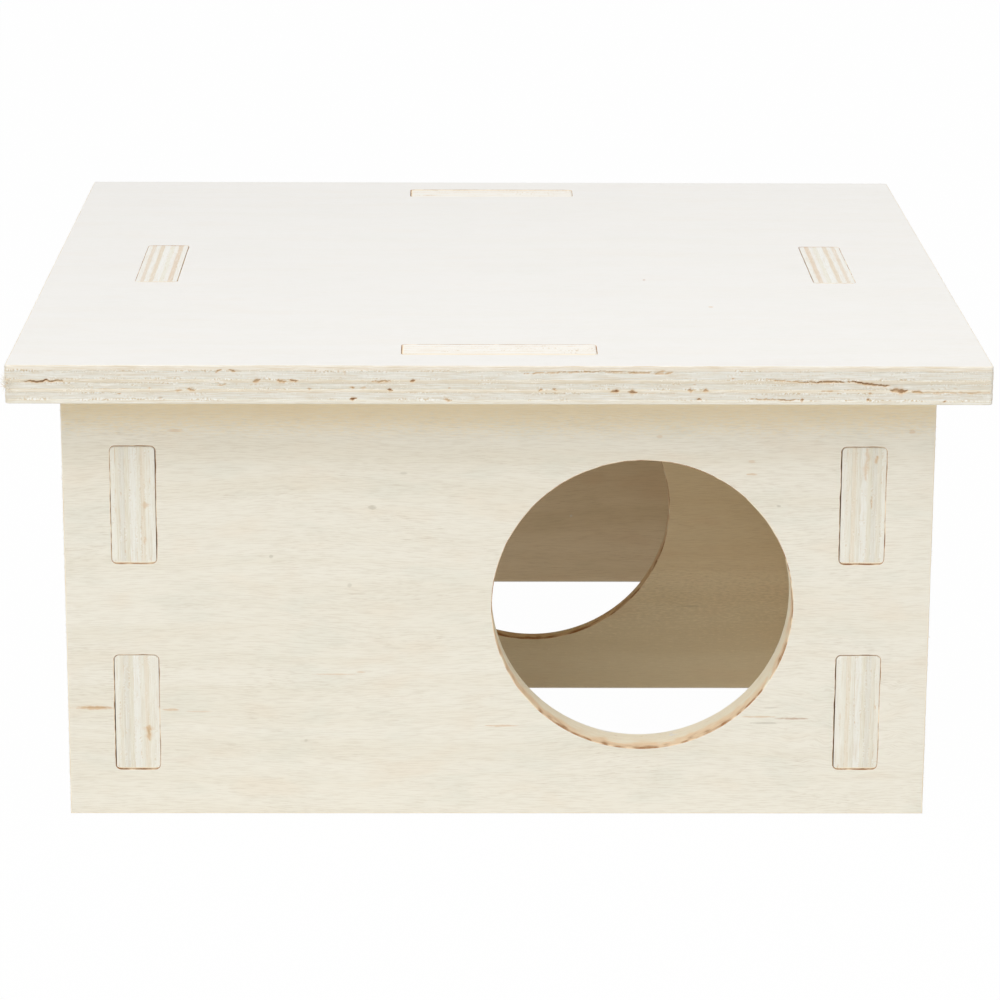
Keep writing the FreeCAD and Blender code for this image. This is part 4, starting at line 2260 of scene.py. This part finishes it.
# Splits in the roof's front edge. Places run from the middle of the house to the right.
ROOF_FRONT_SPLITS = (
    Split((-95.8, 3.3), (-88.4, 3.3), width=0.42, depth=0.4),
    Split((-57.2, 1.2), (-56.3, 0.8), width=0.5, shade=0.8),
    Split((-54.5, 0.9), (-53.5, 1.3), width=0.5, shade=0.8),
    Split((-62.9, 5.1), (-61.7, 5.1), width=0.5),
    Split((-65.4, 5.1), (-64.3, 5.1), width=0.4, shade=0.6),
    Split((-49.6, 3.25), (-48.6, 3.25), width=0.6),
    Split((-44.8, 3.15), (-43.4, 3.15), width=0.6),
    Split((-42.2, 3.2), (-41.0, 3.2), width=0.5),
    Split((-25.8, 3.2), (-22.2, 3.2), width=0.45, shade=0.7),
    Split((-17.9, 3.2), (-17.3, 3.2), width=0.5),
    Split((-22.5, 5.0), (-21.8, 5.0), width=0.4),
    Split((-30.2, 6.9), (-29.2, 6.9), width=0.5),
    Split((-11.2, 7.1), (-9.9, 7.1), width=0.4, shade=0.8),
    Split((5.0, 1.6), (20.0, 1.1), width=0.24, depth=0.15, shade=0.75),
    Split((20.0, 1.1), (34.0, 1.6), width=0.24, depth=0.15, shade=0.8),
    Split((8.0, 5.1), (8.6, 5.1), width=0.5),
    Split((10.9, 5.1), (11.5, 5.1), width=0.5),
    Split((22.7, 5.3), (24.0, 5.3), width=0.75),
    Split((26.2, 5.3), (27.6, 5.3), width=0.7),
    Split((38.2, 5.1), (38.9, 5.1), width=0.5),
    Split((41.3, 5.0), (42.0, 5.0), width=0.5),
    Split((40.0, 6.9), (40.6, 6.9), width=0.5),
    Split((54.2, 2.75), (62.0, 3.3), width=0.3, depth=0.2, shade=0.7),
    Split((61.5, 3.3), (69.5, 3.2), width=0.4, depth=0.4, shade=0.9),
    Split((70.6, 3.1), (79.2, 4.0), width=0.45, depth=0.4),
    Split((79.2, 5.2), (82.4, 5.2), width=0.9, depth=0.3, shade=0.8),
    Split((83.7, 5.25), (85.3, 5.25), width=0.9, depth=0.3, shade=0.8),
    Split((85.0, 5.45), (99.0, 5.45), width=0.3, depth=0.15, shade=0.45),
    Split((50.4, 6.7), (60.3, 7.0), width=0.3, depth=0.2, shade=0.8),
    Split((65.3, 5.15), (68.5, 5.05), width=0.25, depth=0.15, shade=0.7),
    Split((61.2, 7.0), (61.4, 7.0), width=0.9),
    Split((74.5, 7.0), (74.7, 7.0), width=0.7),
    Split((90.0, 7.1), (90.2, 7.1), width=0.7),
)


# The finishes of faces and edges. The faces that look into the house, and the roof's underside, are a shade
# browner: painted shade, for the warm shade inside the house and under the roof.
WALL_FACE = FaceVeneer(
    ground=srgb(243, 238, 224),
    band=srgb(236, 229, 211),
    blush=srgb(240, 229, 210),
    shade=srgb(233, 231, 217),
    pore=srgb(186, 168, 138),
)
FRONT_FACE = replace(WALL_FACE, marks=FRONT_MARKS_AND_ROOF_SHADE, swirl=(76.0, 20.0), swirl_height=6.0)
SIDE_FACE = replace(WALL_FACE, marks=SLOT_GAP_SHADE)
# Painted shade: a browner veneer for the faces inside the house and under the roof, which lie in shade.
INNER_FACE_PAINTED_SHADE = FaceVeneer(
    ground=srgb(244, 228, 195),
    band=srgb(230, 208, 170),
    blush=srgb(238, 211, 176),
    shade=srgb(230, 213, 178),
    pore=srgb(186, 158, 118),
    contrast=0.9,
)
SIDE_INNER_FACE_PAINTED_SHADE = replace(INNER_FACE_PAINTED_SHADE, marks=SLOT_GAP_SHADE)
PARTITION_FACE_PAINTED_SHADE = replace(INNER_FACE_PAINTED_SHADE, marks=PARTITION_MARKS_AND_FOOT_SHADE)
# Painted light: the rear wall's inner face is paler than the other inner faces, to make up for the little
# light that reaches it.
REAR_INNER_FACE_PAINTED_SHADE = replace(INNER_FACE_PAINTED_SHADE, ground=srgb(250, 232, 200), marks=REAR_MARKS)
# Partly painted sheen: the roof's top is paler, greyer and flatter in grain than the walls, both as a paler
# sheet and as the sheen of its lit top.
ROOF_FACE_PAINTED_SHEEN = FaceVeneer(
    ground=srgb(239, 237, 233),
    band=srgb(236, 232, 223),
    blush=srgb(238, 231, 221),
    shade=srgb(234, 233, 226),
    pore=srgb(206, 194, 172),
    contrast=0.35,
    roughness=0.55,
    marks=ROOF_MARKS,
)
FRONT_EDGES = SawnPlies(FRONT_PLIES_PAINTED_LIGHT, glue=srgb(232, 212, 184), streaks=0.8)
# The side walls' edges have paler painted shade between their fibres.
SIDE_EDGES = SawnPlies(WALL_PLIES, pit_painted_shade=srgb(218, 198, 166), fuzz=0.6, streaks=0.6, wave=0.02)
PARTITION_EDGES = SawnPlies(PARTITION_PLIES)
ROOF_EDGES = SawnPlies(ROOF_PLIES)


class HamsterHouse:
    """The whole house: five standing boards and the roof."""

    def __init__(self) -> None:
        """Read the sizes that the boards share."""
        self.sizes = HouseSizes.from_frame()

    def cross_wall(self, node: str, inward: int, seed: int, **own: object) -> StandingBoard:
        """One of the walls that run across the house and hold the side walls' tabs.

        Args:
            node: Its construction panel.
            inward: 1 if the rooms lie behind it, and -1 if they lie before it.
            seed: Sets its random draws.
            own: What else is its own: the finishes of its faces, its fits and its opening.

        Returns:
            The board.
        """
        low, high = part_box(node)
        side_place = -middle("left_wall", X_AXIS)
        return StandingBoard(
            sizes=self.sizes,
            node=node,
            stance=Stance(Facing.FRONT, (low.y if inward > 0 else high.y) / MM, inward),
            length=(high.x - low.x) / MM,
            ply=self.sizes.wall_ply,
            sawn=FRONT_EDGES,
            seed=seed,
            roof_reach=self.sizes.roof_ply,
            slot_places=(-side_place, side_place),
            held_ply=self.sizes.wall_ply,
            **own,
        )

    def front_wall(self) -> StandingBoard:
        """The wall with the entrance."""
        return self.cross_wall(
            "front_wall",
            inward=1,
            seed=11,
            veneer=FRONT_FACE,
            inner_veneer=INNER_FACE_PAINTED_SHADE,
            fits=(
                Fit(-0.06, 0.0, -0.004),
                Fit(0.05, 0.04, -0.003),
                Fit(-0.1, 0.03, -0.004),
                Fit(-0.09, 0.0, 0.001),
            ),
            opening=(30.0, 45.9),
            opening_diameter=62.5,
            opening_rim=Stretch.ENTRANCE,
        )

    def back_wall(self) -> StandingBoard:
        """The closed wall opposite."""
        return self.cross_wall(
            "back_wall",
            inward=-1,
            seed=23,
            veneer=WALL_FACE,
            inner_veneer=REAR_INNER_FACE_PAINTED_SHADE,
            fits=(
                Fit(0.05, 0.02, 0.001),
                Fit(-0.04, 0.04),
                Fit(0.04, -0.03),
                Fit(-0.05, 0.02, -0.001),
            ),
        )

    def side_wall(
        self, node: str, inward: int, seed: int, fits: tuple[Fit, ...], knots: tuple[Split, ...]
    ) -> StandingBoard:
        """One of the walls between the front and the back.

        Args:
            node: Its construction panel.
            inward: 1 if the room lies to its right, and -1 if it lies to its left.
            seed: Sets its random draws.
            fits: How its two slots sit round the partition's tabs.
            knots: The brown places on its front tabs' ends.

        Returns:
            The board.
        """
        low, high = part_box(node)
        outer = low.x if inward > 0 else high.x
        reach = self.sizes.wall_ply
        board = StandingBoard(
            sizes=self.sizes,
            node=node,
            stance=Stance(Facing.SIDE, outer / MM, inward),
            length=(high.y - low.y) / MM - 2 * reach,
            ply=self.sizes.wall_ply,
            veneer=SIDE_FACE,
            inner_veneer=SIDE_INNER_FACE_PAINTED_SHADE,
            sawn=SIDE_EDGES,
            seed=seed,
            upright_reach=reach,
            roof_reach=self.sizes.roof_ply,
            slot_places=(middle("partition", Y_AXIS),),
            held_ply=self.sizes.partition_ply,
            fits=fits,
        )
        board.splits = tuple(board.on_front_tabs(knot) for knot in knots)
        return board

    def partition(self) -> StandingBoard:
        """The inner wall with the doorway."""
        low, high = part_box("partition")
        reach = self.sizes.wall_ply
        return StandingBoard(
            sizes=self.sizes,
            node="partition",
            stance=Stance(Facing.FRONT, low.y / MM, 1),
            length=(high.x - low.x) / MM - 2 * reach,
            ply=self.sizes.partition_ply,
            veneer=PARTITION_FACE_PAINTED_SHADE,
            inner_veneer=PARTITION_FACE_PAINTED_SHADE,
            sawn=PARTITION_EDGES,
            seed=53,
            upright_reach=reach,
            opening=(8.9, 43.4),
            opening_diameter=62.5,
            opening_rim=Stretch.DOORWAY,
        )

    def roof(self) -> Roof:
        """The roof that lifts off."""
        low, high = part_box("roof")
        width = (high.x - low.x) / MM
        edge_start = -width / 2 + Roof.corner_radius
        return Roof(
            sizes=self.sizes,
            node="roof",
            stance=Stance(Facing.FLAT, high.z / MM, -1),
            length=width,
            ply=self.sizes.roof_ply,
            veneer=ROOF_FACE_PAINTED_SHEEN,
            inner_veneer=INNER_FACE_PAINTED_SHADE,
            sawn=ROOF_EDGES,
            seed=71,
            body="roof",
            slot="roof_plywood",
            splits=tuple(
                split.moved_to(split.start[0] - edge_start) for split in ROOF_FRONT_SPLITS
            ),
            wall_places=(middle("right_wall", X_AXIS), -middle("front_wall", Y_AXIS)),
            fits=(Fit(0.02, -0.04), Fit(-0.04, 0.03), Fit(0.06, 0.0), Fit(-0.06, 0.0)),
        )

    def boards(self) -> list[Board]:
        """Every board, in the order in which the house is put together."""
        return [
            self.front_wall(),
            self.side_wall(
                "left_wall", 1, 31, (Fit(0.04, 0.03), Fit(-0.05, 0.02, 0.001)), LEFT_KNOTS
            ),
            self.side_wall(
                "right_wall", -1, 43, (Fit(-0.05, 0.02, 0.001), Fit(0.03, 0.04)), RIGHT_KNOTS
            ),
            self.partition(),
            self.back_wall(),
            self.roof(),
        ]

    def fibres(self) -> list[TornFibres]:
        """The loose fibres, a piece for each body."""
        roof_low, roof_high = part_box("roof")
        wall_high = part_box("back_wall")[1]
        frayed_corner = Tuft(
            place=(roof_low.x + 0.3 * MM, roof_low.y + 0.4 * MM, roof_high.z - 3.6 * MM),
            radius=1.4 * MM,
            density=6.0e6,
            stretch=3.6,
        )
        torn_corner = Tuft(
            place=(wall_high.x - 0.3 * MM, wall_high.y, wall_high.z / 3),
            radius=1.3 * MM,
            density=2.0e6,
            stretch=2.0,
        )
        return [
            TornFibres("wall_torn_fibres", "walls", "wall_plywood", 17, torn_corner),
            TornFibres("roof_torn_fibres", "roof", "roof_plywood", 19, frayed_corner),
        ]


def main() -> None:
    """Build the studio and the house, and report each piece."""
    logging.basicConfig(level=logging.INFO, format="%(message)s")
    Studio().build()
    house = HamsterHouse()
    pieces: dict[str, list[bpy.types.Object]] = {"walls": [], "roof": []}
    for board in house.boards():
        pieces[board.body].append(board.build())
    for fibres in house.fibres():
        pieces[fibres.body].append(fibres.build(pieces[fibres.body]))
    for piece in pieces["walls"] + pieces["roof"]:
        LOG.info("%s: %d faces", piece.name, len(piece.data.polygons))


if __name__ == "__main__":
    main()
